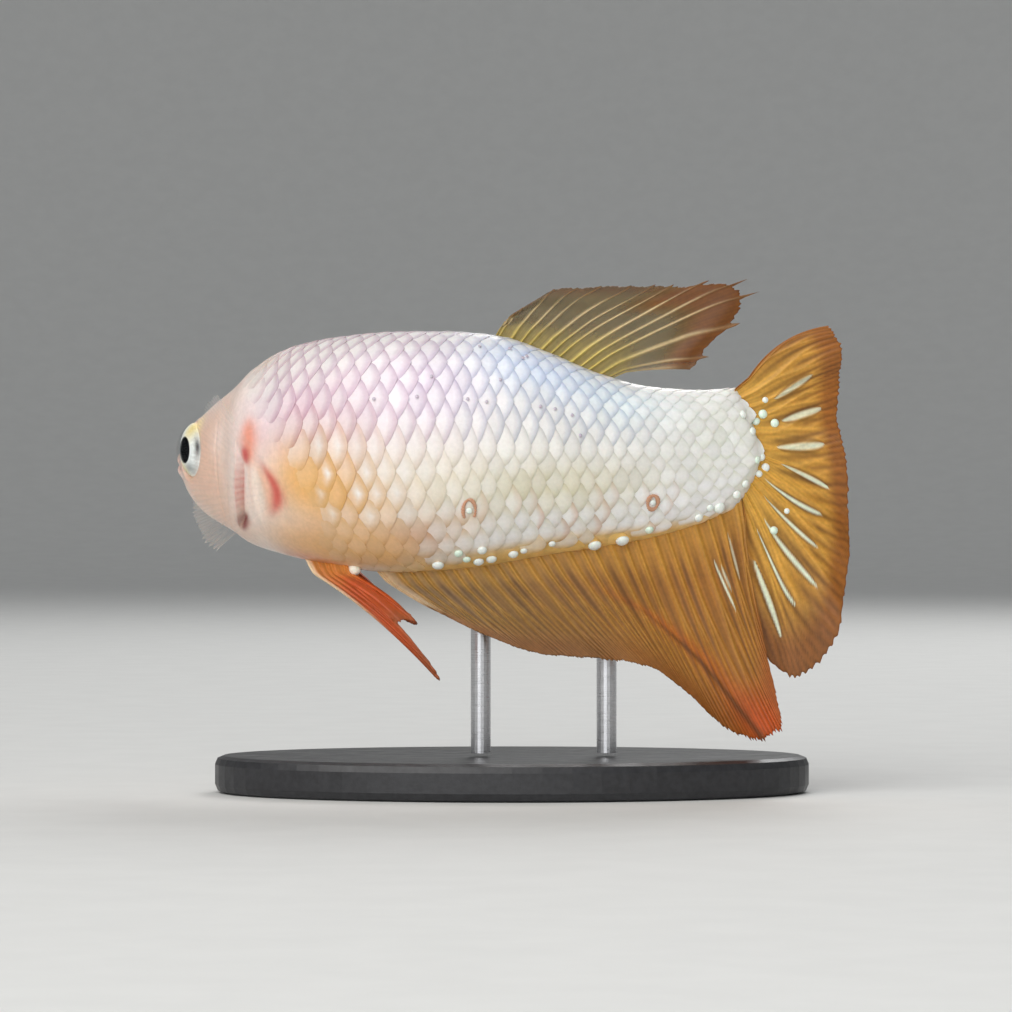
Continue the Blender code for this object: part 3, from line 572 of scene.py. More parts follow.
def add_piece(name, points, faces, finish, slot, replaced=()):
    """A mesh piece from points and arrays of like faces, turned outwards, riding on the body."""
    points = np.asarray(points, float).reshape(-1, 3)
    groups = [np.asarray(group, int) for group in faces if len(group)]
    centre = points.mean(axis=0)
    volume = 0.0
    for group in groups:
        for k in range(1, group.shape[1] - 1):
            a, b, c = (points[group[:, n]] - centre for n in (0, k, k + 1))
            volume += np.sum(a * np.cross(b, c))
    if volume < 0:
        groups = [group[:, ::-1] for group in groups]
    sizes = np.concatenate([np.full(len(group), group.shape[1]) for group in groups])
    corners = np.concatenate([group.ravel() for group in groups])
    mesh = bpy.data.meshes.new(name)
    mesh.vertices.add(len(points))
    mesh.vertices.foreach_set("co", points.ravel())
    mesh.loops.add(len(corners))
    mesh.loops.foreach_set("vertex_index", corners)
    mesh.polygons.add(len(sizes))
    mesh.polygons.foreach_set("loop_start", np.concatenate(((0,), np.cumsum(sizes)[:-1])))
    mesh.update(calc_edges=True)
    mesh.validate()
    mesh.shade_smooth()
    mesh.materials.append(finish)
    piece = bpy.data.objects.new(name, mesh)
    bpy.context.scene.collection.objects.link(piece)
    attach(piece, BODY)
    if replaced:
        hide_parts(*replaced)
    return piece


def paint(piece, name, values):
    """Stores a colour or a number at each point of a piece."""
    values = np.asarray(values, float)
    if values.shape[-1] == 3:
        rgba = np.concatenate((values.reshape(-1, 3), np.ones((values.size // 3, 1))), axis=1)
        layer = piece.data.color_attributes.new(name, "FLOAT_COLOR", "POINT")
        layer.data.foreach_set("color", rgba.ravel())
    else:
        layer = piece.data.attributes.new(name, "FLOAT", "POINT")
        layer.data.foreach_set("value", values.ravel())


def grid_faces(index, wrap=False):
    """Quads between the neighbours in a grid of point numbers. With wrap, the last column meets the
    first."""
    if wrap:
        index = np.concatenate((index, index[:, :1]), axis=1)
    corners = (index[:-1, :-1], index[:-1, 1:], index[1:, 1:], index[1:, :-1])
    return np.stack(corners, axis=-1).reshape(-1, 4)


def repeated(faces, block, count):
    """The same faces for each of count blocks of points."""
    shift = (np.arange(count) * block)[:, None, None]
    return (faces[None] + shift).reshape(-1, faces.shape[1])


class Nodes:
    """A short way to write a material's nodes."""

    def __init__(self, name, roughness, **sockets):
        self.material = bpy.data.materials.new(name)
        self.material.use_nodes = True
        self.tree = self.material.node_tree
        self.shader = self.tree.nodes["Principled BSDF"]
        self.set(Roughness=roughness, **sockets)
        self.place = self.add("ShaderNodeTexCoord").outputs["Object"]

    def set(self, **sockets):
        """Sets the shader's own sockets. An underscore in a name stands for a space."""
        for socket, value in sockets.items():
            self.shader.inputs[socket.replace("_", " ")].default_value = value

    def add(self, kind, inputs=(), **settings):
        """A node with its settings and its inputs, each a value or another node's output."""
        node = self.tree.nodes.new(kind)
        for key, value in settings.items():
            setattr(node, key, value)
        for key, value in dict(inputs).items():
            if isinstance(value, bpy.types.NodeSocket):
                self.tree.links.new(value, node.inputs[key])
            else:
                node.inputs[key].default_value = value
        return node

    def link(self, output, socket):
        """Leads another node's output to one of the shader's sockets."""
        self.tree.links.new(output, self.shader.inputs[socket])

    def noise(self, size, detail=3.0, stretch=(1.0, 1.0, 1.0)):
        """Soft noise whose features are about size metres, stretched by factors."""
        scaled = self.add("ShaderNodeMapping", {"Vector": self.place, "Scale": stretch})
        made = self.add("ShaderNodeTexNoise", {
            "Vector": scaled.outputs["Vector"], "Scale": 1.0 / size, "Detail": detail})
        return made.outputs["Fac"]

    def ranged(self, value, to_low, to_high, low=NOISE_LOW, high=NOISE_HIGH):
        """The value moved from one range to another."""
        made = self.add("ShaderNodeMapRange", {
            "Value": value, "From Min": low, "From Max": high, "To Min": to_low, "To Max": to_high})
        return made.outputs["Result"]

    def shaded(self, colour, shade):
        """The colour made darker or lighter by a number."""
        grey = self.add("ShaderNodeCombineColor", {"Red": shade, "Green": shade, "Blue": shade})
        return self.mix("MULTIPLY", 1.0, colour, grey.outputs["Color"])

    def speckled(self, colour, size, to_low, to_high):
        """The colour with fine light and dark flecks."""
        fleck = self.ranged(self.noise(size, 4.0), to_low, to_high, FLECK_LOW, FLECK_HIGH)
        return self.shaded(colour, fleck)

    def attribute(self, name, colour=True):
        """A colour or a number painted on the piece's points."""
        node = self.add("ShaderNodeAttribute", attribute_name=name)
        return node.outputs["Color" if colour else "Fac"]

    def mix(self, kind, share, first, second):
        """Two colours mixed in the way that kind names."""
        node = self.add("ShaderNodeMix", data_type="RGBA", blend_type=kind)
        for socket, value in ((node.inputs[0], share), (node.inputs[6], first), (node.inputs[7], second)):
            if isinstance(value, bpy.types.NodeSocket):
                self.tree.links.new(value, socket)
            else:
                socket.default_value = value
        return node.outputs[2]

    def bump(self, height, strength, distance):
        """Fine unevenness of the surface."""
        made = self.add("ShaderNodeBump", {"Height": height, "Strength": strength, "Distance": distance})
        self.link(made.outputs["Normal"], "Normal")


def skin_finish():
    """Moist skin: the painted marks, fine flecks, soft light under the surface and a wet coat."""
    nodes = Nodes("moist fish skin", 0.42, Coat_Weight=0.22, Coat_Roughness=0.2, Subsurface_Weight=0.12,
                  Subsurface_Scale=0.6 * MM)
    colour = nodes.speckled(nodes.attribute("tint"), 0.35 * MM, 0.95, 1.05)
    nodes.link(nodes.speckled(colour, 2.2 * MM, 0.965, 1.03), "Base Color")
    nodes.link(nodes.ranged(nodes.noise(0.8 * MM), 0.34, 0.5), "Roughness")
    nodes.bump(nodes.noise(0.22 * MM, 4.0), 0.25, 0.03 * MM)
    return nodes.material


def scale_finish():
    """Pearly scales: the painted tint with a faint grain, a satin ground and a clear coat."""
    nodes = Nodes("pearl scales", 0.42, Metallic=0.05, Coat_Weight=0.22, Coat_Roughness=0.25,
                  Subsurface_Weight=0.08, Subsurface_Scale=0.4 * MM)
    nodes.link(nodes.speckled(nodes.attribute("tint"), 0.3 * MM, 0.965, 1.035), "Base Color")
    nodes.link(nodes.ranged(nodes.noise(1.3 * MM), 0.34, 0.5), "Roughness")
    nodes.bump(nodes.noise(0.16 * MM, 3.0), 0.2, 0.02 * MM)
    return nodes.material


def fin_finish(name, roughness, coat):
    """Fin membrane: painted tint and cover, with a fine grain between the rays."""
    nodes = Nodes(name, roughness, Specular_IOR_Level=0.3, Coat_Weight=coat, Coat_Roughness=0.25,
                  Subsurface_Weight=0.1, Subsurface_Scale=0.5 * MM)
    colour = nodes.speckled(nodes.attribute("tint"), 0.3 * MM, 0.92, 1.08)
    nodes.link(nodes.speckled(colour, 2.6 * MM, 0.93, 1.06), "Base Color")
    nodes.link(nodes.attribute("cover", colour=False), "Alpha")
    nodes.bump(nodes.noise(0.2 * MM, 3.0), 0.2, 0.02 * MM)
    return nodes.material


def skin_rings(columns):
    """Stations and angles of the skin's grid. Rings are close at the snout, the eyes and the gill's
    edge, follow the gill's edge and end on the fleshy tail's rounded edge."""
    sizes = bpy.context.scene.fish_sizes
    curl = np.linspace(0.0, math.pi / 2, SNOUT_RINGS)
    snout = SNOUT_ROUNDING / MM * (1 - np.cos(curl))
    numbers, stations = zip((0.0, snout[-1]), *RING_KEYS)
    rest = np.interp(np.arange(1, sizes.skin_rings), numbers, stations)
    level = np.concatenate((snout, rest))[:, None]
    angle = ring_angles(columns)[None, :]
    angle = np.where(angle > math.pi, angle - 2 * math.pi, angle)
    follow = bell(level - GILL / MM, 3.0) * (level < 20) * (level > 7)
    toward = ease((level - TAIL_RINGS_FROM) / (BODY_LENGTH / MM - TAIL_RINGS_FROM))
    gill_shift = (gill_edge(angle) - GILL) / MM * follow
    tail_shift = (tail_edge(angle) - BODY_LENGTH) / MM * toward
    return (level + gill_shift + tail_shift) * MM, angle + 0.0 * level


def make_skin():
    """One closed skin from the snout to the fleshy tail: flesh(station, angle) moved out along its own
    normal by the relief. The snout is one point, and the tail's edge joins its left and right sides."""
    columns = SKIN_COLUMNS
    station, angle = skin_rings(columns)
    place = flesh(station, angle)
    normal = unit(np.cross(np.gradient(place, axis=0),
                           np.roll(place, -1, axis=1) - np.roll(place, 1, axis=1)))
    normal = facing_out(normal, station, place)
    normal[:2] = unit(normal[2].mean(axis=0))
    normal[-1] = 0.0
    relief = face_relief(station, place) * (1 - ease((station / MM - 9.0) / 2.0))
    relief = relief + cheek_relief(station, angle) + body_relief(station, angle)
    relief[0] = relief[1].mean()
    place = place + normal * relief[..., None]
    place[0] = place[0].mean(axis=0)
    rows = len(place)
    index = np.arange(rows * columns).reshape(rows, columns)
    mirrored = np.minimum(np.arange(columns), (columns - np.arange(columns)) % columns)
    index[-1] = index[-1, 0] + mirrored
    index[0] = 0
    quads = grid_faces(index[1:], wrap=True)
    ring = np.concatenate((index[1], index[1, :1]))
    tip = np.stack((np.zeros(columns, int), ring[1:], ring[:-1]), axis=-1)
    points, (quads, tip), (tint,) = compact(place, (quads, tip), skin_tint(station, angle, place))
    folded = (quads[:, 2] == quads[:, 3]) | (quads[:, 1] == quads[:, 2])
    piece = add_piece("fish_skin", points, (quads[~folded], tip, quads[folded]),
                      skin_finish(), "face", ("head", "torso", "tail"))
    paint(piece, "tint", tint)


def skin_tint(station, angle, place):
    """The body's marks, with painted shade in the mouth's cleft and in the nostrils."""
    colours = palette()
    tint = body_tint(station, angle)
    gape = mouth_offset(station, place[..., 2] - AXIS_HEIGHT) / MM
    # Painted shade along the mouth's cleft
    mouth = bell(gape, 0.12) * (1 - ease((station / MM - 1.2) / 0.7))
    tint = blend(tint, colours["gill_dark"], 0.75 * mouth)
    # Painted shade in each nostril
    for away in nostril_distances(place):
        tint = blend(tint, colours["gill_dark"], 0.7 * bell(away, 0.7))
    return tint


def scale_places():
    """Root station, row angle and chance numbers of every scale, shaped to spread over a scale's grid.
    Rows lie along the fish, every second one shifted by half a scale, as on a brick wall."""
    sizes = bpy.context.scene.fish_sizes
    chance = np.random.default_rng(SEED)
    row = np.arange(1, int(SCALE_ROWS) + 1)
    signed = np.concatenate(((0,), row, -row))
    column = np.arange(SCALES_IN_ROW)
    row_grid, column_grid = np.meshgrid(signed, column, indexing="ij")
    angle = row_grid * math.pi / SCALE_ROWS
    root = FIRST_SCALE + sizes.scale_pitch * (column_grid + 0.5 * (np.abs(row_grid) % 2))
    luck = chance.random(row_grid.shape + (6,))
    loose = 1 + 2 * ease((root / MM - 40) / 10)
    root = root + (luck[..., 0] - 0.5) * 0.1 * MM * loose
    angle = angle + np.radians(luck[..., 1] - 0.5) * 1.2 * loose * (row_grid != 0)
    shown_from = root + sizes.scale_length - sizes.scale_pitch
    kept = shown_from > coat_start(angle) - 0.2 * MM
    short = 0.8 * ease((np.degrees(np.abs(angle)) - 110) / 30)
    kept &= root + sizes.scale_length < tail_edge(angle) + (0.5 * luck[..., 2] - short) * MM
    lowest = np.degrees(np.abs(angle)) > 150 + 16 * (luck[..., 3] < 0.3)
    kept &= ~(lowest & (root > 26.0 * MM))
    return (rows[kept][:, None, None] for rows in (root, angle, luck))


def scale_tints(station, angle, across, down, root, row_angle, luck):
    """A scale's colours: the body's tint, a pearly middle that is partly its own pale colour and partly a
    painted highlight, and a tinged rear margin. Margins are clearest on the back, orange in the golden
    patch behind the breast fin, where a scale's pearly middle is only a small spot, and rusty low on the
    flank, where the lowest scales take the colour of the anal fin's root."""
    colours = palette()
    tint = body_tint(station, angle)
    degrees = np.degrees(np.abs(row_angle))
    st = root / MM + 1.2
    low = ease((degrees - 112) / 14) * ease((st - 26) / 3)
    belly = ease((degrees - 118) / 10) * (1 - ease((st - 27) / 3))
    fringe = ease((st - 29.5) / 2) * (1 - ease((st - 49) / 2))
    fresh = ease((st - coat_start(row_angle) / MM + 1.0) / 2.5)
    rear = ease((st - 40) / 8)
    golden = bell(st - 22.0, 4.2) * bell(degrees - 106, 21)
    high = (1 - ease((degrees - 74) / 24)) * (1 - 0.85 * ease((st - 42) / 6)) * ease((st - 13) / 4)
    pearly = 0.34 + 0.3 * (luck[..., 3] - 0.5) + 0.35 * low + 0.75 * golden + 0.35 * rear
    pearly = pearly * (1 - 0.75 * belly) * fresh
    lens = np.clip(1 - (across / 0.85) ** 2, 0, 1) * np.where(down > 0.25, 1.0, 0.3)
    small = bell(across, 0.30) * bell(down - 0.78, 0.10)
    lens = lens + ((luck[..., 2] > 0.25) * small - lens) * golden
    # The pearly middle: the scale's own pale colour with a painted highlight
    tint = blend(tint, colours["scale_pearl"], np.clip(pearly, 0, 1) * lens)
    hem = ease((degrees - 148 + 18 * (luck[..., 3] - 0.5)) / 2) * fringe
    tint = blend(tint, colours["fin_root"], 0.9 * hem)
    tint = tint * (1.0 + (0.10 + 0.05 * rear) * (luck[..., 4] - 0.5))[..., None]
    cool = ease((st - 26) / 8)[..., None]
    line = tint * (colours["line_warm"] + (colours["line_cool"] - colours["line_warm"]) * cool)
    line = blend(line, tint * colours["line_faint"], 1 - high)
    line = blend(line, colours["apricot"] * 0.82, 0.9 * golden)
    line = blend(line, colours["rust_mark"], 0.6 * low * (luck[..., 0] < 0.22) * (st < 48))
    wide = 0.70 + 0.06 * golden + 0.08 * rear
    margin = ease((down - wide) / (0.98 - wide))
    strength = (0.40 - 0.20 * rear + 0.42 * high + 0.4 * golden + 0.2 * low - 0.2 * belly) * fresh
    return blend(tint, line, margin * np.clip(strength, 0, 1))


def make_scales():
    """The coat of scales. A scale is a thin plate: its top is a grid across and along it, rooted under
    the skin and rising in a straight line to its free rear edge, which is an arc. Plates further forward
    stand higher where they overlap, so each shows as a curved diamond."""
    sizes = bpy.context.scene.fish_sizes
    root, row_angle, luck = scale_places()
    across, down = np.meshgrid(np.linspace(-1, 1, SCALE_ACROSS), np.array(SCALE_ALONG))
    length = sizes.scale_length * (1 + 0.08 * (luck[..., 2] - 0.5))
    edge = length - 0.56 * sizes.scale_pitch * np.abs(across) ** 1.45
    station = root + edge * down
    angle = np.abs(row_angle) + across * (math.pi / SCALE_ROWS * SCALE_OVERLAP)
    angle = np.where(row_angle == 0, angle, np.minimum(angle, math.radians(178)))
    angle = angle * np.where(row_angle < 0, -1.0, 1.0)
    grown = ease((root + 2.0 * MM - coat_start(row_angle)) / (3.0 * MM))
    low_front = ease((np.degrees(np.abs(row_angle)) - 112) / 16) * (1 - ease((root / MM - 26) / 4))
    rear = ease((root / MM - 40) / 8)
    lift = sizes.scale_lift * (0.35 + 0.65 * grown) * (1 - 0.45 * low_front - 0.3 * rear)
    lift = lift * (1 + 0.2 * (luck[..., 4] - 0.5))
    droop = (0.55 * across ** 6 + 0.8 * (1 - grown) * across ** 2) * down
    top = -SCALE_ROOT_SINK + (lift + SCALE_ROOT_SINK) * down
    top = top - SCALE_CAMBER * across ** 2 - lift * droop
    top = top - SCALE_LIP * (down > 0.99)
    ground = flesh(station, angle, body_relief(station, angle), 0.4)
    normal = flesh_normal(station, angle)
    upper = ground + normal * top[..., None]
    lower = (ground + normal * (top - SCALE_THICKNESS)[..., None])[:, (0, -1)]
    tint = scale_tints(station, angle, across, down, root, row_angle, luck)
    count, rows, columns = station.shape
    block = (rows + 2) * columns
    upper_index = np.arange(rows * columns).reshape(rows, columns)
    lower_index = rows * columns + np.arange(2 * columns).reshape(2, columns)
    quads = np.concatenate((
        grid_faces(upper_index),
        grid_faces(lower_index)[:, ::-1],
        grid_faces(np.stack((upper_index[-1], lower_index[-1]))),
        grid_faces(np.stack((lower_index[0], upper_index[0]))),
    ))
    left = np.concatenate((upper_index[:, 0], lower_index[::-1, 0]))
    right = np.concatenate((upper_index[::-1, -1], lower_index[:, -1]))
    faces = (repeated(group, block, count) for group in (quads, np.stack((left, right))))
    points = np.concatenate((upper, lower), axis=1).reshape(-1, 3)
    tints = np.concatenate((tint, tint[:, (0, -1)]), axis=1).reshape(-1, 3)
    piece = add_piece("scales", points, faces, scale_finish(), "scales")
    piece.data.set_sharp_from_angle(angle=math.radians(55))
    paint(piece, "tint", tints)
    uv = unwrapped(root, row_angle) + PATCH_HALF * np.stack((2 * down - 1, across), axis=-1)
    uv = np.concatenate((uv, uv[:, (0, -1)]), axis=1).reshape(-1, 2)
    add_uv(piece, uv)


def unwrapped(station, angle):
    """Places on the unwrapped skin: the station over the body's length, and the angle over a turn."""
    return np.stack((station / UNWRAP_LENGTH, 0.5 + angle / UNWRAP_TURN), axis=-1)


def add_uv(piece, uv):
    """The map the colours are baked by, from one place for each point."""
    layer = piece.data.uv_layers.new(name="OFBake")
    corners = np.empty(len(piece.data.loops), int)
    piece.data.loops.foreach_get("vertex_index", corners)
    layer.uv.foreach_set("vector", uv[corners].ravel())


def turned(centre, out, back, radius, depth, ring):
    """Points of a surface turned about an axis, from the radius and the depth of each of its rings."""
    round_it = ring_angles(ring)[None, :, None]
    flat = np.cos(round_it) * back + np.sin(round_it) * UP
    return centre + radius[:, None, None] * flat + depth[..., None] * out


def turned_faces(rows, ring):
    """Quads of a turned surface whose first and last rows are single points, which become triangles."""
    index = np.arange(rows * ring).reshape(rows, ring)
    index[0] = index[0, 0]
    index[-1] = index[-1, 0]
    quads = grid_faces(index[1:-1], wrap=True)
    first = np.concatenate((index[1], index[1, :1]))
    last = np.concatenate((index[-2], index[-2, :1]))
    tip = np.stack((np.full(ring, index[0, 0]), first[1:], first[:-1]), axis=-1)
    tail = np.stack((np.full(ring, index[-1, 0]), last[:-1], last[1:]), axis=-1)
    return quads, np.concatenate((tip, tail))


def compact(points, faces, *values):
    """The points that the faces use, the faces with their new numbers, and the points' values."""
    used, order = np.unique(np.concatenate([group.ravel() for group in faces]), return_inverse=True)
    cuts = np.cumsum([group.size for group in faces])[:-1]
    faces = [part.reshape(group.shape) for part, group in zip(np.split(order, cuts), faces)]
    kept = [value.reshape(-1, value.shape[-1])[used] for value in values]
    return points.reshape(-1, 3)[used], faces, kept


def iris_tint(x, y):
    """Iris colours at a place behind and above the eye's middle: silver round a black pupil, gold above,
    a crescent of painted shade along the back of the rim, a cream lobe below in front, and a pale rim."""
    colours = palette()
    x = x / MM
    y = y / MM
    r = np.hypot(x, y)
    turn = np.arctan2(y, x)
    tint = np.broadcast_to(colours["iris_silver"], x.shape + (3,)).copy()
    tint = blend(tint, colours["iris_grey"], 0.7 * bell(y + 1.5, 0.45) * bell(x - 0.7, 0.7))
    tint = blend(tint, colours["iris_gold"], 0.95 * bell(np.hypot(x - 0.75, y - 1.75), 0.8) ** 0.7)
    tint = blend(tint, colours["iris_gold"], 0.75 * bell(np.hypot(x + 0.6, y + 1.65), 0.75))
    # Painted shade in a crescent along the back of the iris's rim
    crescent = bell(r - 1.95, 0.20) * bell(y - 0.2, 0.75) * (x > 0)
    tint = blend(tint, colours["iris_dark"], crescent)
    tint = blend(tint, colours["cream_ray"], 0.8 * ease((r - 2.16) / 0.1))
    tint = blend(tint, colours["iris_grey"], 0.8 * ease((-0.75 - x) / 0.3) * ease((y + 1.0) / 0.4))
    streak = 0.10 * np.sin(turn * 34 + 2 * np.sin(turn * 7)) * bell(r - 1.4, 0.4)
    tint = tint * (1 + streak)[..., None]
    outside = ease((pupil_distance(x * MM, y * MM) - PUPIL_RADIUS) / PUPIL_EDGE)
    return blend(tint, colours["pupil"], 1 - outside)


def pupil_distance(x, y):
    """The distance from the pupil's middle, which lies a little off the eye's."""
    return np.hypot(x - PUPIL_BACK, y)


def make_eye(side, word):
    """One eye: a ball turned about its own axis, with a sunken pupil, and a clear dome over it."""
    centre, out, back = eye_axes(side)
    front = np.linspace(0.0, EYE_RADIUS / MM, BALL_FRONT_RINGS) * MM
    rear = np.linspace(EYE_RADIUS / MM, 0.0, BALL_REAR_RINGS)[1:] * MM
    radius = np.concatenate((front, rear))
    round_it = ring_angles(BALL_RING)[None, :]
    x, y = radius[:, None] * np.cos(round_it), radius[:, None] * np.sin(round_it)
    flat = np.sqrt(np.maximum(1 - (radius / EYE_RADIUS) ** 2, 0.0))
    depth = np.where(np.arange(len(radius)) < len(front), IRIS_DEPTH, -EYE_DEPTH)[:, None] * flat[:, None]
    sunk = (1 - ease((pupil_distance(x, y) - PUPIL_RADIUS + 0.05 * MM) / PUPIL_EDGE)) * (depth > 0)
    points = turned(centre, out, back, radius, depth - PUPIL_SINK * sunk, BALL_RING)
    faces = turned_faces(len(radius), BALL_RING)
    tint = iris_tint(x, y)
    points, faces, (tint,) = compact(points, faces, tint)
    nodes = Nodes("silver iris", 0.3, Specular_IOR_Level=0.0)
    nodes.link(nodes.speckled(nodes.attribute("tint"), 0.12 * MM, 0.9, 1.1), "Base Color")
    nodes.bump(nodes.noise(0.1 * MM), 0.2, 0.02 * MM)
    ball = add_piece(f"eye_{word}_ball", points, faces, nodes.material, "eye", (f"eye_{word}",))
    paint(ball, "tint", tint)
    rise = np.linspace(0.0, 1.0, CORNEA_RINGS) * CORNEA_RADIUS
    base = IRIS_DEPTH * np.sqrt(1 - (rise / EYE_RADIUS) ** 2)
    bulge = (EYE_DEPTH - IRIS_DEPTH) * np.sqrt(np.maximum(1 - (rise / CORNEA_RADIUS) ** 2, 0.0))
    outer = base + bulge + CORNEA_GAP
    inner = base + 0.75 * bulge - CORNEA_FOOT
    radius = np.concatenate((rise, rise[::-1]))
    depth = np.concatenate((outer, inner[::-1]))
    points = turned(centre, out, back, radius, depth[:, None], CORNEA_RING)
    points, faces, _ = compact(points, turned_faces(len(radius), CORNEA_RING))
    nodes = Nodes("clear cornea", 0.04, IOR=1.34, Specular_IOR_Level=0.8)
    nodes.set(Base_Color=(*linear((0.30, 0.32, 0.32)), 1.0))
    edge_on = nodes.add("ShaderNodeLayerWeight", {"Blend": 0.35}).outputs["Facing"]
    nodes.link(nodes.ranged(edge_on, 0.05, 0.30, 0.80, 0.995), "Alpha")
    add_piece(f"eye_{word}_cornea", points, faces, nodes.material, "eye")


def ray_web(share, reach, rays, forks):
    """How much each place of a fin is ray, and how much it lies in the painted shade between two. Rays
    fork up to twice on the way out, so the distance to the nearest branch is folded about each fork's
    spread."""
    spot = (share * rays + 0.13 * np.sin(share * rays * 2.1 + 0.5)) % 1.0
    first = 0.25 * ease((reach - 0.24) / 0.40) if forks > 0 else 0.0
    second = 0.125 * ease((reach - 0.52) / 0.34) if forks > 1 else 0.0
    away = np.abs(np.abs(np.abs(spot - 0.5) - first) - second)
    half = 0.5 - first - second
    ray = bell(away, 0.13 - 0.075 * ease(reach / 0.85))
    return ray, ease((away / half - 0.45) / 0.5)


def outline(keys, share):
    """Ray length and lean at a share of the root, from a fin's outline."""
    keys = np.array(keys, float)
    length = smooth_through(keys[:, 0], keys[:, 1] * MM, share)
    lean = np.radians(smooth_through(keys[:, 0], keys[:, 2], share))
    return length[..., None], lean[..., None]


def ray_frame(keys, share, back):
    """A fin's ray at a share of its root: its length, its unit direction between back and up, and the
    unit vector across it in the fin's plane."""
    length, lean = outline(keys, share)
    return length, np.cos(lean) * back + np.sin(lean) * UP, np.cos(lean) * UP - np.sin(lean) * back


def frayed(share, rays):
    """An uneven wave along a fin's edge, between 0 and 1, made of a few sines."""
    turn = share * rays
    wave = np.sin(turn * 2.9) + 0.7 * np.sin(turn * 7.3 + 1.1) + 0.6 * np.sin(turn * 17.9 + 0.4)
    return 0.5 + (wave + 0.6 * np.sin(turn * 31.3)) / 5.8


def straight(share, reach):
    """The course of a fin whose rays keep their share all the way out."""
    return share


def fin_web(rays, columns, rows, forks, notch, ragged, course=straight):
    """The places of a fin's grid: share of the root, reach from the root to the edge, how much is ray,
    how much lies in the painted shade between rays, and the way out along the ray. Rays run along the
    course, and the way out is the reach, cut short at the free edge, which is frayed and notched between
    the branches."""
    share, reach = np.meshgrid(np.linspace(0, 1, rays * columns + 1), np.linspace(0, 1, rows) ** 0.9)
    ray, dark = ray_web(course(share, reach), reach, rays, forks)
    rim = np.maximum(bell(share * rays, 0.15), bell((1 - share) * rays, 0.15))
    ray, dark = np.maximum(ray, rim), dark * (1 - rim)
    ends = np.ones_like(reach)
    tip = ray_web(course(share, ends), ends, rays, forks)[0]
    short = np.interp(share, (0, 0.5, 0.75, 1), notch) if np.ndim(notch) else notch
    out = reach * (1 - (short * (1 - tip) + ragged * frayed(share, rays)) * reach ** 4)
    return share, reach, ray, dark, out


def fin_sheet(web, root, reach_out, bow, sink, thin=1.0):
    """A closed fin as two like grids: middle = root + reach_out * way out + bow, moved to each side by
    half the thickness, which is membrane plus a ridge on every ray. Sink bends the root into the flesh.
    Returns the points, the faces and the web's first four arrays."""
    share, reach, ray, dark, out = web
    middle = root + reach_out * out[..., None] + bow
    middle = middle + sink * (1 - ease(reach / 0.13))[..., None]
    across = unit(np.cross(np.gradient(middle, axis=0), np.gradient(middle, axis=1)))
    membrane = 0.20 - 0.10 * reach
    ridge = 0.34 - 0.27 * reach
    thick = (membrane + ridge * ray) * MM * thin
    thick[-1] = FREE_EDGE
    thick[:, (0, -1)] = END_EDGE
    shift = across * (thick / 2)[..., None]
    points = np.stack((middle + shift, middle - shift))
    index = np.arange(share.size).reshape(share.shape)
    other = index + share.size
    rim = np.concatenate((index[0, :-1], index[:-1, -1], index[-1, :0:-1], index[:0:-1, 0]))
    ahead = np.roll(rim, -1)
    wall = np.stack((ahead, rim, rim + share.size, ahead + share.size), axis=-1)
    faces = np.concatenate((grid_faces(index), grid_faces(other)[:, ::-1], wall))
    return points, faces, (share, reach, ray, dark)


def streaks(share, reach, lines, width, spread):
    """Lens-shaped bright streaks along a fin, and the dark outline round them. Each runs between two
    places and is widest in its middle; the faint ones are wider by the spread."""
    lit = np.zeros_like(share)
    shadow = np.zeros_like(share)
    for share_0, reach_0, share_1, reach_1, strength in lines:
        along_it = (reach - reach_0) / (reach_1 - reach_0)
        middle = share_0 + (share_1 - share_0) * along_it
        swell = np.sqrt(np.clip(4 * along_it * (1 - along_it), 0.0, 1.0)) + 1e-6
        away = np.abs(share - middle) / ((width + spread * (1 - strength)) * swell)
        inside = (along_it > 0) & (along_it < 1)
        lit = np.maximum(lit, strength * inside * (1 - ease((away - 0.4) / 0.75)))
        shadow = np.maximum(shadow, strength * inside * bell(away - 1.35, 0.5))
    return lit, shadow


def fibred(tint, share, reach, rays, depth):
    """The tint with fine light and dark fibres along the rays."""
    turn = share * rays
    fibre = np.sin(turn * 23.0 + 1.5 * np.sin(turn * 1.7)) + 0.7 * np.sin(turn * 9.1 + 2.0 * reach)
    return tint * (1 + depth * fibre)[..., None]


# Bright streaks of the tail fin: share and reach where each starts and ends, and its strength
TAIL_STREAKS = (
    (0.236, 0.27, 0.182, 0.69, 0.70), (0.350, 0.30, 0.306, 0.80, 0.70), (0.472, 0.15, 0.420, 0.74, 0.75),
    (0.545, 0.18, 0.533, 0.74, 0.85), (0.700, 0.07, 0.625, 0.63, 1.0), (0.785, 0.10, 0.708, 0.61, 1.0),
    (0.855, 0.16, 0.780, 0.69, 1.0), (0.935, 0.18, 0.852, 0.64, 1.0), (0.975, 0.42, 0.925, 0.80, 0.9),
)
ANAL_STREAKS = (
    (0.888, 0.15, 0.905, 0.42, 0.9), (0.903, 0.20, 0.912, 0.33, 0.6), (0.945, 0.10, 0.950, 0.35, 0.5),
)


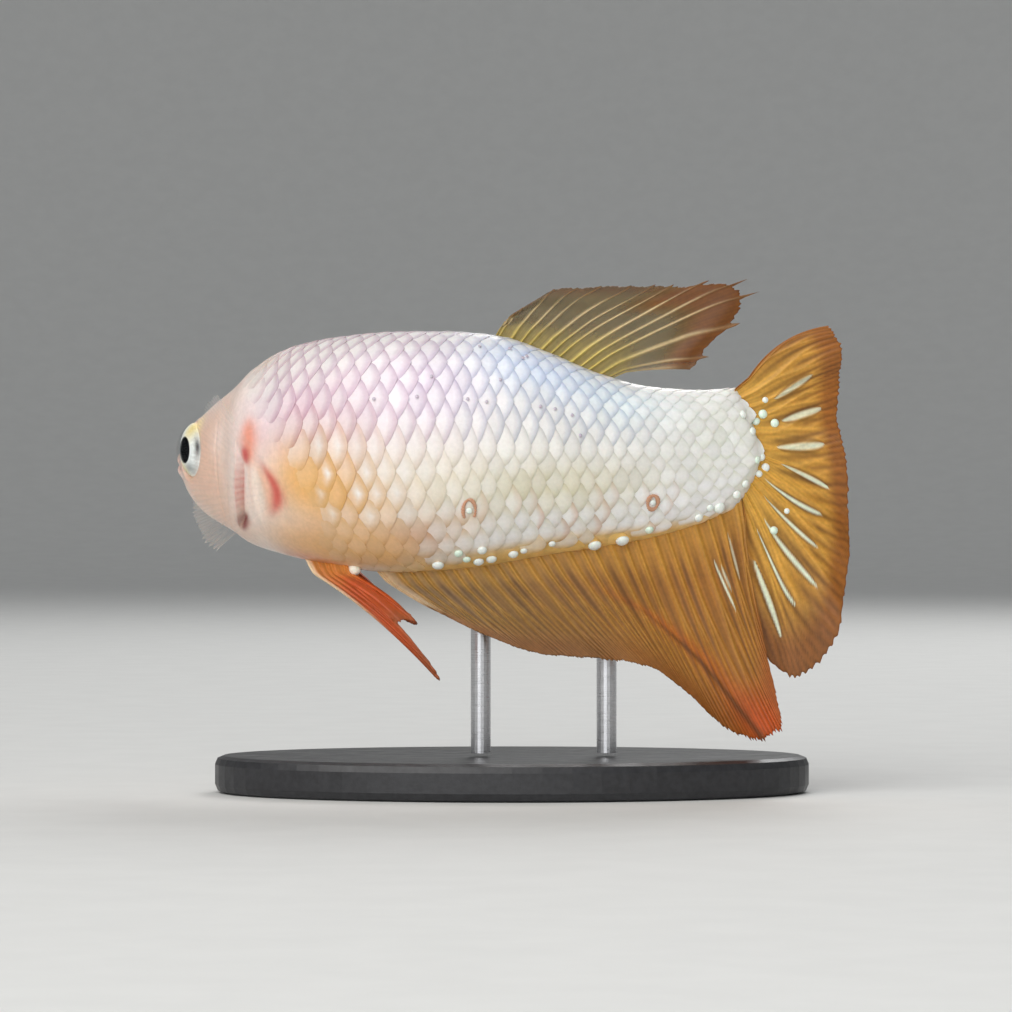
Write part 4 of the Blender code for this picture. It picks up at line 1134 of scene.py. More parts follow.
def caudal_colours(share, reach, ray, dark):
    """Tail fin: gold at the root, amber, then a rust margin, duller below, with uneven lines of painted
    shade between the rays and pale streaks."""
    c = palette()
    tint = blend(np.broadcast_to(c["gold"], share.shape + (3,)), c["amber"], 0.60 * ease(reach / 0.7))
    margin = ease((reach - 0.66) / 0.22)
    rim = np.maximum(margin, np.maximum(bell(share, 0.04), 0.8 * bell(1 - share, 0.03)))
    tint = blend(tint, c["amber_lit"], 0.6 * ray * (1 - rim))
    tint = blend(tint, c["rust"], 0.9 * rim)
    tint = blend(tint, c["dusk"] * 0.8, 0.45 * ease((reach - 0.48) / 0.3) * ease((share - 0.70) / 0.12))
    uneven = 0.80 + 0.20 * np.sin(57.0 * share + 4.0 * reach)
    # Painted shade between the rays, uneven along the fin
    tint = blend(tint, c["ray_line"], (0.68 - 0.2 * margin) * uneven * dark * ease((reach - 0.04) / 0.15))
    tint = fibred(tint, share, reach, 13, 0.07)
    lit, shadow = streaks(share, reach, TAIL_STREAKS, 0.0078, 0.026)
    tint = blend(blend(tint, c["ray_line"], 0.75 * shadow), c["streak"], lit)
    return tint, 0.97 - 0.08 * rim * dark


def anal_colours(share, reach, ray, dark):
    """Anal fin: olive in front, amber behind, a dusky and rusty margin, uneven lines of painted shade
    between the rays, and one vermilion crease that bends back towards the tip, with painted shade in it."""
    c = palette()
    tint = blend(np.broadcast_to(c["olive"], share.shape + (3,)), c["amber"], ease((share - 0.12) / 0.7))
    tint = blend(tint, c["amber_lit"], 0.35 * ray * (1 - 0.6 * reach))
    tint = blend(tint, c["amber_lit"], 0.45 * (1 - ease(reach / 0.22)))
    tint = blend(tint, c["dusk"], 0.8 * ease((reach - 0.5) / 0.4) * (1 - ease((share - 0.25) / 0.4)))
    tint = blend(tint, c["rust"], 0.85 * ease((reach - 0.55) / 0.4) * ease((share - 0.3) / 0.35))
    bend = smooth_through((0, 0.26, 0.41, 0.62, 0.95, 1.0), (0, 0.12, 0.5, 0.8, 0.98, 1.0), reach)
    away = share - (0.52 + 0.30 * bend)
    tint = blend(tint, c["vermilion"], 0.38 * bell(away - 0.012, 0.035) * ease((reach - 0.15) / 0.3))
    tint = blend(tint, c["vermilion"], 0.85 * bell(share - 0.85, 0.08) * ease((reach - 0.65) / 0.3))
    # Painted shade along the vermilion crease
    tint = blend(tint, c["ray_line"], 0.8 * bell(away + 0.004, 0.011) * ease((reach - 0.25) / 0.3))
    # Painted shade between the rays, uneven along the fin, and a faint darkening in the same colour where
    # it is weak
    uneven = 0.64 + 0.22 * np.sin(41.0 * share + 3.0 * reach) + 0.14 * np.sin(97.0 * share - 5.0 * reach)
    tint = blend(tint, c["ray_line"], (0.84 - 0.25 * reach) * uneven * dark * ease((reach - 0.03) / 0.12))
    tint = blend(tint, c["ray_line"], 0.09 * (1 - uneven) * ease((reach - 0.2) / 0.3))
    tint = fibred(tint, share, reach, 26, 0.07)
    lit, shadow = streaks(share, reach, ANAL_STREAKS, 0.0034, 0.003)
    tint = blend(blend(tint, c["ray_line"], 0.5 * shadow), c["streak"], lit)
    front = 1 - ease((share - 0.02) / 0.05)
    tint = blend(tint, c["cream_ray"], 0.5 * front * (1 - ease((reach - 0.5) / 0.3)))
    return tint, 0.96 - 0.06 * dark * (1 - ease((share - 0.1) / 0.3))


def dorsal_colours(share, reach, ray, dark):
    """Back fin: smoky clear membrane, yellow at its root, creamy rays and rusty wisps behind."""
    c = palette()
    tint = np.broadcast_to(c["smoke"], share.shape + (3,))
    tint = blend(tint, c["lemon"], 0.35 * (1 - ease(reach / 0.35)))
    wisps = ease((share - 0.42) / 0.22) * ease((reach - 0.42) / 0.28)
    tint = blend(tint, c["dorsal_tip"], np.maximum(0.6 * ease((reach - 0.7) / 0.25), wisps))
    rays = blend(np.broadcast_to(c["lemon"], tint.shape), c["cream_ray"], 0.7 * ease(reach / 0.4))
    rays = blend(rays, c["dorsal_tip"], 0.85 * ease((reach - 0.5) / 0.4))
    bright = 0.35 + 0.25 * np.sin(share * 37.0) ** 2 + 0.4 * bell(share - 0.68, 0.25)
    tint = blend(tint, rays, ray * bright)
    tint = fibred(tint, share, reach, 17, 0.09)
    cover = 0.62 + 0.30 * ray * (1 - 0.3 * reach) + 0.42 * wisps + 0.12 * (1 - ease(reach / 0.3))
    return tint, np.clip(cover * (1 - 0.35 * bell(1 - share, 0.05)), 0, 0.97)


def ventral_colours(share, reach, ray, dark):
    """Long fins under the breast: vermilion, amber at the root, with a cream leading edge."""
    c = palette()
    tint = np.broadcast_to(c["vermilion"], share.shape + (3,))
    tint = blend(tint, c["amber_lit"], 0.5 * (1 - ease(reach / 0.35)))
    tint = blend(tint, c["dusk"], 0.5 * ease((reach - 0.7) / 0.3))
    # A slight darkening all over in the shade colour, and painted shade between the rays
    tint = blend(tint, c["ray_line"], 0.10 + 0.2 * dark)
    tint = fibred(tint, share, reach, 5, 0.06)
    edge = 1 - ease((share - 0.05) / 0.12)
    tint = blend(tint, c["cream_ray"], 0.95 * edge * (1 - ease((reach - 0.35) / 0.4)))
    return tint, 0.97 - 0.12 * reach


def pectoral_colours(share, reach, ray, dark):
    """Breast fins: nearly clear, with fine pale rays that show more towards the tips, most at the fin's
    upper and lower edges."""
    c = palette()
    tint = blend(np.broadcast_to(c["clear_web"], share.shape + (3,)), c["cream_ray"], 0.3 * ray)
    outer = 0.3 + 0.7 * np.maximum(bell(share, 0.12), ease((share - 0.6) / 0.15))
    wisp = ease((reach - 0.45) / 0.5) * outer
    return tint, 0.02 + 0.10 * wisp + (0.022 + 0.10 * wisp) * ray


def add_fin(name, sheet, colours, finish, slot, replaced):
    """Adds a fin's piece, with its colours and its cover painted on both faces."""
    points, faces, places = sheet
    piece = add_piece(name, points, (faces,), finish, slot, replaced)
    tint, cover = colours(*places)
    paint(piece, "tint", np.stack((tint, tint)))
    paint(piece, "cover", np.tile(cover.ravel(), 2))


def median_sheet(web, front, rear, edge, keys, sway, curl):
    """A fin on the body's midline: edge is its angle round the body, pi below and 0 above. Its rays lean
    back from the midline, sway bends them sideways and curl bends them in the fin's plane."""
    share, out = web[0], web[-1]
    station = front + (rear - front) * share
    normal = flesh_normal(station, edge)
    root = flesh(station, edge) + normal * SOLID_FIN_GAP
    length, ray, cross = ray_frame(keys, share, rearward(station))
    arch = (out * (1 - out))[..., None] * length * curl
    bow = arch * cross + sway(share, out)[..., None] * leftward(station)
    sink = -normal * (SOLID_FIN_GAP + 0.3 * ROOT_SINK) - unit(length * ray) * ROOT_SINK
    return fin_sheet(web, root, length * ray, bow, sink)


def dorsal_sway(share, reach):
    """Two gentle waves, and the rays' own fine wriggle."""
    waves = 0.5 * reach ** 2 * np.sin(7.0 * share + 1.0)
    return MM * (waves + 0.10 * reach * np.sin(17 * reach + 9 * share))


def dorsal_course(share, reach):
    """The rays of the back fin wriggle a little in its plane."""
    return share + 0.012 * reach * np.sin(8.0 * reach + 11.0 * share) * np.sin(math.pi * share)


def caudal_course(share, reach):
    """The rays of the tail fin run a little more upright than its two edges would lead them."""
    return share + (0.06 + 0.10 * share) * ease(share / 0.3) * (reach - 0.65)


def anal_sway(share, reach):
    """Gentle waves, and one deep fold towards the rear that throws the last rays to the left."""
    fold = ease((share - 0.66) / 0.16) * (1.0 - 0.4 * ease((share - 0.9) / 0.1))
    ripple = 0.35 * np.sin(16.0 * share) + 0.12 * np.sin(47.0 * share)
    return MM * reach ** 1.5 * (ripple - 0.55 * (1 - fold) + 1.3 * fold)


def caudal_sheet():
    """The tail fin, whose rays fan out from the rounded end of the fleshy tail."""
    web = fin_web(rays=13, columns=20, rows=60, forks=2, notch=0.012, ragged=0.028, course=caudal_course)
    share, out = web[0], web[-1]
    angle = CAUDAL_TOP + (CAUDAL_BOTTOM - CAUDAL_TOP) * share
    station = tail_edge(angle)
    back = rearward(station)
    root = flesh(station, angle)
    root[..., :2] = along(station)[..., :2]
    length, ray, cross = ray_frame(CAUDAL_RAYS, share, back)
    curve = CAUDAL_ARCH + CAUDAL_TOP_ARCH * (1 - ease(share / 0.16))
    arch = (out * (1 - out) * curve)[..., None] * length
    ripple = MM * out ** 2 * (0.45 * np.sin(19.0 * share) + 0.12 * np.sin(52.0 * share))
    bow = arch * cross + ripple[..., None] * leftward(station)
    sink = -back * SOLID_FIN_GAP - unit(length * ray) * 1.2 * ROOT_SINK
    return fin_sheet(web, root + back * SOLID_FIN_GAP, length * ray, bow, sink)


def ventral_sheet(side):
    """One of the two long fins under the breast. The right one is shorter and further forward."""
    web = fin_web(rays=5, columns=16, rows=56, forks=1, notch=0.03, ragged=0.02)
    share, out = web[0], web[-1]
    trail = np.array((math.cos(VENTRAL_TRAIL_YAW), -math.sin(VENTRAL_TRAIL_YAW), 0.0))
    outward = np.array((-math.sin(VENTRAL_TRAIL_YAW), -math.cos(VENTRAL_TRAIL_YAW), 0.0)) * side
    keys = LEFT_VENTRAL_RAYS if side > 0 else RIGHT_VENTRAL_RAYS
    ahead = 0.0 if side > 0 else RIGHT_VENTRAL_AHEAD
    station = VENTRAL_FRONT - ahead + (VENTRAL_REAR - VENTRAL_FRONT) * share
    normal = flesh_normal(station, side * VENTRAL_ANGLE)
    root = flesh(station, side * VENTRAL_ANGLE) + normal * SOLID_FIN_GAP
    length, ray, cross = ray_frame(keys, share, trail)
    arch = (out * (1 - out))[..., None] * length * VENTRAL_ARCH
    bow = arch * cross + 0.35 * MM * (out * np.sin(3.0 * out))[..., None] * outward
    sink = -normal * (SOLID_FIN_GAP + ROOT_SINK)
    return fin_sheet(web, root, length * (ray + VENTRAL_SPLAY * outward), bow, sink, thin=1.2)


def pectoral_sheet(side):
    """A clear paddle that stands out from the flank behind the gill cover."""
    web = fin_web(rays=11, columns=14, rows=40, forks=2, notch=0.05, ragged=0.04)
    share, out = web[0], web[-1]
    outward = leftward(PECTORAL_STATION) * side
    back = rearward(PECTORAL_STATION)
    trail = outward * math.cos(PECTORAL_SWEEP) + back * math.sin(PECTORAL_SWEEP)
    angle = side * (PECTORAL_TOP + (PECTORAL_BOTTOM - PECTORAL_TOP) * share)
    normal = flesh_normal(PECTORAL_STATION, angle)
    root = flesh(PECTORAL_STATION, angle) + normal * SOLID_FIN_GAP
    length, ray, _ = ray_frame(PECTORAL_RAYS, share, trail)
    _, lean = outline(PECTORAL_RAYS, share)
    bow = (out * out)[..., None] * length * PECTORAL_CUP * np.cos(2.0 * lean) * back
    sink = -normal * (SOLID_FIN_GAP + ROOT_SINK)
    return fin_sheet(web, root, length * ray, bow, sink, thin=0.45)


def beads(places, normals, roots, sizes_across, heights, name, finish, slot, tints):
    """Flattened domes, each a short turned profile of a few rings, set on the surface along its normal.
    Roots are the stations and angles they stand at, which place their patches on the unwrapped skin."""
    dome = np.linspace(0.0, 1.0, 5) * math.pi / 2
    radius = np.append(np.sin(dome), 0.0)
    rise = np.append(np.cos(dome), BEAD_FOOT)
    ring = BEAD_RING
    round_it = ring_angles(ring)
    side = unit(np.cross(normals, UP + 0.01))
    other = np.cross(normals, side)
    flat = np.cos(round_it)[:, None] * side[:, None] + np.sin(round_it)[:, None] * other[:, None]
    wide = sizes_across[:, None, None, None] * radius[None, :, None, None]
    tall = heights[:, None, None, None] * rise[None, :, None, None]
    points = places[:, None, None] + wide * flat[:, None] + tall * normals[:, None, None]
    block = len(radius) * ring
    faces = [repeated(group, block, len(places)) for group in turned_faces(len(radius), ring)]
    tint = np.broadcast_to(tints[:, None, None], points.shape).reshape(-1, 3)
    disc = np.stack((radius[:, None] * np.cos(round_it), radius[:, None] * np.sin(round_it)), axis=-1)
    uv = unwrapped(*roots.T[..., None, None]) + PATCH_HALF * disc
    points, faces, (tint, uv) = compact(points, faces, tint, uv)
    piece = add_piece(name, points, faces, finish, slot)
    paint(piece, "tint", tint)
    add_uv(piece, uv)


# Stray pale scales low on the flank, painted as glints: station in mm, angle in degrees, radius in mm
STRAY_SCALES = (
    (29.4, 160, 0.50), (31.6, 156, 0.34), (32.5, 161, 0.44), (33.5, 160, 0.44), (35.2, 158, 0.42),
    (36.0, 156, 0.30), (41.6, 163, 0.56), (43.8, 162, 0.56), (45.9, 153, 0.36), (31.0, 149, 0.36),
    (32.8, 149, 0.40), (38.2, 153, 0.30), (49.9, 153, 0.38), (51.6, 149, 0.48), (50.8, 144, 0.32),
    (53.0, 138, 0.38), (53.7, 126, 0.34), (54.7, 98, 0.30), (54.3, 72, 0.34), (53.5, 56, 0.34),
)
# Pale spots at the root of the tail fin, painted as glints: share, reach and radius in mm
FIN_BEADS = (
    (0.223, 0.17, 0.26), (0.357, 0.20, 0.36), (0.30, 0.10, 0.38), (0.34, 0.06, 0.34), (0.628, 0.07, 0.36),
    (0.728, 0.27, 0.24), (0.833, 0.23, 0.34), (0.56, 0.05, 0.36), (0.50, 0.04, 0.34), (0.70, 0.05, 0.30),
)
# Dark dots on the back's scales: station in mm, angle in degrees
PIGMENT_DOTS = (
    (29.2, 54), (28.3, 65), (34.2, 54), (31.8, 66), (33.2, 67), (37.2, 66), (25.6, 66), (35.9, 34),
    (34.9, 28), (36.2, 31), (32.6, 30), (39.6, 68), (38.3, 66), (40.2, 80),
)
# Orange rings low on the flank: station in mm, angle in degrees, half width in mm, half height in
# degrees, half thickness in mm, opening at the bottom in radians, radius of the pale middle in mm
ORANGE_RINGS = (
    (46.0, 127.0, 0.42, 5.4, 0.16, math.pi / 18, 0.24),
    (31.9, 121.0, 0.46, 6.0, 0.14, 1.0, 0.26),
)
RING_BEADS = 18
# Egg spot: station in mm, angle in degrees, radius and height in mm
EGG_SPOT = (22.8, 169.0, 0.52, 0.62)
BEAD_RING = 12
BEAD_FOOT = -0.35
DOT_RADIUS = 0.14 * MM
DOT_LIFT = 0.10 * MM
RING_LIFT = 0.06 * MM


def on_flesh(places):
    """Roots, points and normals on both sides of the body for rows that start with station and angle."""
    rows = np.asarray(places, float)
    rows = np.concatenate((rows, rows * np.where(np.arange(rows.shape[1]) == 1, -1, 1)))
    station, angle = rows[:, 0] * MM, np.radians(rows[:, 1])
    normal = flesh_normal(station, angle)
    return rows, np.stack((station, angle), axis=-1), flesh(station, angle, 0.0, 0.5), normal


def fin_spots():
    """Both faces' spots at the root of the tail fin: places, normals, radii in mm, and their roots on the
    unwrapped skin, just behind the edge of the fleshy tail."""
    (left, right), _, (share, reach, _, _) = caudal_sheet()
    rows = []
    for at_share, at_reach, radius in FIN_BEADS:
        nearest = (share - at_share) ** 2 + (reach - at_reach) ** 2
        at = np.unravel_index(np.argmin(nearest), share.shape)
        outward = unit(left[at] - right[at])
        turn = CAUDAL_TOP + (CAUDAL_BOTTOM - CAUDAL_TOP) * at_share
        station = tail_edge(turn) + 3 * MM * at_reach
        rows.append((left[at], outward, radius, (station, -turn)))
        rows.append((right[at], -outward, radius, (station, turn)))
    return (np.array(column) for column in zip(*rows))


def make_stray_scales(finish):
    """The stray pale scales low on the flank and at the root of the tail fin, painted bright as glints.
    """
    colours = palette()
    rows, roots, places, normals = on_flesh(STRAY_SCALES)
    spots, outward, spot_radii, spot_roots = fin_spots()
    places = np.concatenate((places, spots))
    normals = np.concatenate((normals, outward))
    radii = np.concatenate((rows[:, 2], spot_radii)) * MM
    roots = np.concatenate((roots, spot_roots))
    hue = np.random.default_rng(SEED + 1).random(len(radii))
    # Painted glints: bright white beads, some greenish
    tints = np.broadcast_to(colours["bead"], (len(radii), 3))
    tints = blend(tints, colours["bead_mint"], 0.7 * (hue > 0.7))
    beads(places, normals, roots, radii, 0.6 * radii, "stray_scales_and_glints", finish, "scales", tints)


def make_dots(finish):
    """The dark dots on the back."""
    _, roots, places, normals = on_flesh(PIGMENT_DOTS)
    radii = np.full(len(places), DOT_RADIUS)
    tints = np.broadcast_to(palette()["dot"], (len(places), 3))
    places = places + DOT_LIFT * normals
    beads(places, normals, roots, radii, 0.3 * radii, "pigment_dots", finish, "scales", tints)


def make_flank_rings(finish):
    """The orange rings low on each flank, ovals of overlapping beads round a pale one. An opening leaves
    some out at the bottom."""
    colours = palette()
    rows = []
    for station, degrees, wide, tall, thick, opening, middle in ORANGE_RINGS:
        turn = np.linspace(opening, 2 * math.pi - opening, RING_BEADS)
        thick = thick * (1 + 0.2 * np.sin(3 * turn + station))
        circle = (station + wide * np.sin(turn), degrees + tall * np.cos(turn), thick, turn * 0 + 1)
        rows += [np.stack(circle, axis=-1), ((station, degrees, middle, 0.0),)]
    rows, roots, places, normals = on_flesh(np.concatenate(rows))
    radii = rows[:, 2] * MM
    pale = np.broadcast_to(colours["bead"], (len(radii), 3))
    tints = blend(pale, colours["rust_mark"], 0.85 * rows[:, 3])
    places = places + RING_LIFT * normals
    beads(places, normals, roots, radii, 0.35 * radii, "flank_rings", finish, "scales", tints)


def make_egg_spot(finish):
    """The white egg spot, which hangs from the belly in front of the anal fin."""
    station, degrees, radius, height = EGG_SPOT
    root = np.array(((station * MM, math.radians(degrees)),))
    place = flesh(root[:, 0], root[:, 1])
    down = unit(0.45 * flesh_normal(root[:, 0], root[:, 1]) + 0.35 * leftward(root[:, 0]) - UP)
    sizes = np.array((radius * MM,)), np.array((height * MM,))
    beads(place, down, root, *sizes, "egg_spot", finish, "scales", palette()["egg"][None])


def base_finish():
    """The stand's base: dark satin plastic with a fine grain."""
    nodes = Nodes("satin dark base", 0.38)
    dark = linear(bpy.context.scene.fish_colours.stand)
    nodes.link(nodes.speckled((*dark, 1.0), 0.5 * MM, 0.8, 1.25), "Base Color")
    nodes.link(nodes.ranged(nodes.noise(2.5 * MM), 0.3, 0.46), "Roughness")
    nodes.bump(nodes.noise(0.25 * MM, 4.0), 0.35, 0.03 * MM)
    return nodes.material


def rod_finish():
    """The rods: steel brushed round its length."""
    nodes = Nodes("brushed steel rod", 0.3, Metallic=1.0)
    brushed = nodes.noise(0.25 * MM, 5.0, (0.15, 0.15, 3.0))
    steel = linear(bpy.context.scene.fish_colours.steel)
    nodes.link(nodes.shaded((*steel, 1.0), nodes.ranged(brushed, 0.85, 1.1)), "Base Color")
    nodes.link(nodes.ranged(brushed, 0.24, 0.42), "Roughness")
    nodes.bump(brushed, 0.2, 0.01 * MM)
    return nodes.material


def make_backdrop():
    """A pale floor that curves up into a round wall far from the fish: a profile of a flat, a quarter
    circle and an upright, turned about the middle."""
    flat = np.linspace(0.0, FLOOR_RADIUS, FLOOR_RINGS)[:-1]
    bend = np.linspace(0.0, math.pi / 2, CURVE_RINGS)
    outwards = FLOOR_RADIUS + CURVE_RADIUS * np.sin(bend)
    radius = np.concatenate((flat, outwards, (FLOOR_RADIUS + CURVE_RADIUS,)))
    height = np.concatenate((np.zeros(len(flat)), CURVE_RADIUS * (1 - np.cos(bend)), (WALL_HEIGHT,)))
    round_it = np.linspace(0, 2 * math.pi, BACKDROP_RING + 1)[:-1]
    points = np.stack((radius[:, None] * np.cos(round_it), radius[:, None] * np.sin(round_it),
                       height[:, None] + 0.0 * round_it), axis=-1)
    index = np.arange(points.size // 3).reshape(points.shape[:2])
    mesh = bpy.data.meshes.new("floor")
    middle = index[1, ::-1].tolist()
    faces = grid_faces(index[1:], wrap=True).tolist() + [middle]
    mesh.from_pydata(points.reshape(-1, 3).tolist(), [], faces)
    mesh.shade_smooth()
    nodes = Nodes("pale floor", 0.75)
    pale = linear(bpy.context.scene.fish_colours.floor)
    nodes.link(nodes.speckled((*pale, 1.0), 6 * MM, 0.985, 1.015), "Base Color")
    mesh.materials.append(nodes.material)
    floor = bpy.data.objects.new("floor", mesh)
    bpy.context.scene.collection.objects.link(floor)


def add_light(name, place, size, power, colour):
    """A square soft light that looks at the fish."""
    lamp = bpy.data.lights.new(name, "AREA")
    lamp.size = size
    lamp.energy = power
    lamp.color = colour
    light = bpy.data.objects.new(name, lamp)
    light.location = place
    light.rotation_euler = (Vector(place) - Vector(LIGHT_AIM)).to_track_quat("Z", "Y").to_euler()
    bpy.context.scene.collection.objects.link(light)


def add_camera():
    """The photo's camera: level, at the height that its framing gives, with its pixels per mm."""
    lens = bpy.data.cameras.new("camera")
    lens.sensor_width = SENSOR_MM
    lens.lens = SENSOR_MM * PIXELS_PER_MM * CAMERA_DISTANCE / MM / PIXELS
    lens.clip_start = 0.01
    lens.clip_end = 10.0
    camera = bpy.data.objects.new("camera", lens)
    camera.location = (CAMERA_X, BODY_PLANE_Y - CAMERA_DISTANCE, CAMERA_Z)
    camera.rotation_euler = (math.pi / 2, 0.0, 0.0)
    bpy.context.scene.collection.objects.link(camera)
    bpy.context.scene.camera = camera


def length_property(name, default, description):
    """A length that a user may change."""
    return bpy.props.FloatProperty(name=name, description=description, default=default, unit="LENGTH",
                                   precision=5)


def colour_property(name, default, description):
    """A colour that a user may change."""
    return bpy.props.FloatVectorProperty(name=name, description=description, default=default, size=3,
                                         min=0.0, max=1.0, subtype="COLOR_GAMMA")


class FishSizes(bpy.types.PropertyGroup):
    """Sizes of the coat that a user may change."""
    coat_depth: length_property("Coat depth", 0.13 * MM, "How far the skin lies inside the scales")
    scale_pitch: length_property("Scale pitch", 1.25 * MM, "Distance between scales along the fish")
    scale_length: length_property("Scale length", 2.45 * MM, "Length of a scale from its root")
    scale_lift: length_property("Scale lift", 0.15 * MM, "Height of a scale's free edge over the skin")
    skin_rings: bpy.props.IntProperty(name="Skin rings", description="Rings of points along the skin",
                                      default=363, min=60, max=380)


class FishColours(bpy.types.PropertyGroup):
    """Colours of the fish and its stand that a user may change."""
    pearl: colour_property("Pearl", (0.91, 0.89, 0.87), "Ground colour of the body")
    nape: colour_property("Nape", (0.95, 0.89, 0.86), "Pale nape and crown")
    shoulder_pink: colour_property("Shoulder pink", (0.94, 0.79, 0.84), "Flank behind the head")
    lavender: colour_property("Lavender", (0.90, 0.83, 0.90), "Upper flank")
    sky: colour_property("Sky", (0.89, 0.93, 1.0), "Back below the back fin")
    mint: colour_property("Mint", (0.91, 0.98, 1.0), "Back behind the back fin")
    silver: colour_property("Silver", (0.92, 0.92, 0.84), "Root of the tail")
    cream: colour_property("Cream", (0.92, 0.85, 0.77), "Middle of the flank")
    straw: colour_property("Straw", (0.84, 0.80, 0.64), "Lower flank")
    apricot: colour_property("Apricot", (0.90, 0.67, 0.36), "Patch behind the breast fin")
    belly_tan: colour_property("Belly tan", (0.85, 0.62, 0.34), "Belly")
    breast_orange: colour_property("Breast orange", (0.80, 0.46, 0.25), "Breast at the long fins")
    cheek: colour_property("Cheek", (0.89, 0.72, 0.62), "Cheek and gill cover")
    throat: colour_property("Throat", (0.85, 0.70, 0.60), "Throat")
    lip_rose: colour_property("Lip rose", (0.74, 0.55, 0.50), "Lips")
    band_white: colour_property("Band white", (0.96, 0.87, 0.81), "Ridge behind the gill")
    gill_salmon: colour_property("Gill salmon", (0.91, 0.54, 0.42), "Upper end of the gill slit")
    gill_red: colour_property("Gill red", (0.79, 0.24, 0.21), "Red spot in the gill slit")
    gill_plum: colour_property("Gill plum", (0.79, 0.46, 0.42), "Middle of the gill slit")
    # Also the painted shade in the mouth's cleft and the nostrils
    gill_dark: colour_property("Gill dark", (0.46, 0.09, 0.08), "Lower end of the gill slit")
    # Red skin and painted shade in the hollow behind the breast fin
    axil_red: colour_property("Axil red", (0.78, 0.35, 0.30), "Hollow behind the breast fin")
    # Pale colour and painted highlight in the middle of a scale
    scale_pearl: colour_property("Scale pearl", (0.97, 0.95, 0.94), "Middle of a scale")
    line_warm: colour_property("Warm line", (0.84, 0.77, 0.83), "Shade of the scales' edges in front")
    line_cool: colour_property("Cool line", (0.82, 0.84, 0.90), "Shade of the scales' edges behind")
    line_faint: colour_property("Faint line", (0.92, 0.90, 0.86), "Shade of the lower scales' edges")
    rust_mark: colour_property("Rust mark", (0.76, 0.47, 0.26), "Rusty edges low on the flank")
    # The painted glint of the stray pale scales, and the pale middle of the orange rings
    bead: colour_property("Bead", (0.95, 0.97, 0.94), "Stray shining scales")
    # Greenish painted glints of the stray pale scales
    bead_mint: colour_property("Bead mint", (0.88, 0.97, 0.88), "Greenish shining scales")
    dot: colour_property("Dot", (0.77, 0.73, 0.78), "Dark dots on the back")
    peach: colour_property("Peach", (0.93, 0.74, 0.62), "Root of the breast fin")
    fin_root: colour_property("Fin root", (0.97, 0.78, 0.44), "Skin along the anal fin")
    egg: colour_property("Egg spot", (0.97, 0.93, 0.86), "Egg spot")
    gold: colour_property("Gold", (0.84, 0.64, 0.27), "Rays of the tail fin")
    amber: colour_property("Amber", (0.64, 0.42, 0.15), "Membrane of the tail and anal fins")
    amber_lit: colour_property("Lit amber", (0.88, 0.66, 0.29), "Rays and roots of the amber fins")
    dusk: colour_property("Dusk", (0.56, 0.38, 0.24), "Front margin of the anal fin")
    olive: colour_property("Olive", (0.55, 0.42, 0.24), "Front of the anal fin")
    rust: colour_property("Rust", (0.59, 0.35, 0.13), "Margin of the tail and anal fins")
    # Painted shade between the fin rays, along the anal fin's crease and round the bright streaks
    ray_line: colour_property("Ray line", (0.34, 0.20, 0.07), "Lines between the rays")
    vermilion: colour_property("Vermilion", (0.77, 0.31, 0.07), "Long fins under the breast")
    streak: colour_property("Streak", (0.89, 0.93, 0.83), "Bright streaks of the tail fin")
    cream_ray: colour_property("Cream ray", (0.96, 0.85, 0.70), "Leading edges and clear fins' rays")
    smoke: colour_property("Smoke", (0.45, 0.38, 0.21), "Membrane of the back fin")
    lemon: colour_property("Lemon", (0.84, 0.75, 0.38), "Rays of the back fin")
    dorsal_tip: colour_property("Back fin tip", (0.43, 0.25, 0.05), "Tips of the back fin")
    clear_web: colour_property("Clear web", (0.94, 0.93, 0.92), "Membrane of the breast fins")
    iris_silver: colour_property("Iris silver", (0.96, 0.98, 0.97), "Iris")
    iris_gold: colour_property("Iris gold", (0.96, 0.88, 0.60), "Upper part of the iris")
    iris_grey: colour_property("Iris grey", (0.55, 0.58, 0.58), "Lower part of the iris")
    # Painted shade along the back of the iris's rim
    iris_dark: colour_property("Iris dark", (0.12, 0.13, 0.16), "Crescent in the iris")
    pupil: colour_property("Pupil", (0.02, 0.02, 0.03), "Pupil")
    stand: colour_property("Stand", (0.16, 0.16, 0.17), "Base of the stand")
    steel: colour_property("Steel", (0.80, 0.80, 0.81), "Rods of the stand")
    floor: colour_property("Floor", (0.86, 0.86, 0.85), "Floor and backdrop")


class FISH_OT_skin(bpy.types.Operator):
    """Makes the fish's skin, from the lips to the fleshy tail"""
    bl_idname = "fish.skin"
    bl_label = "Skin"

    def execute(self, context):
        make_skin()
        return {"FINISHED"}


class FISH_OT_scales(bpy.types.Operator):
    """Makes the coat of scales, the stray shining ones, the dots, the rings and the egg spot"""
    bl_idname = "fish.scales"
    bl_label = "Scales"

    def execute(self, context):
        make_scales()
        finish = scale_finish()
        make_stray_scales(finish)
        make_dots(finish)
        make_flank_rings(finish)
        make_egg_spot(finish)
        return {"FINISHED"}


class FISH_OT_eyes(bpy.types.Operator):
    """Makes both eyes with their clear domes"""
    bl_idname = "fish.eyes"
    bl_label = "Eyes"

    def execute(self, context):
        make_eye(1, "left")
        make_eye(-1, "right")
        return {"FINISHED"}


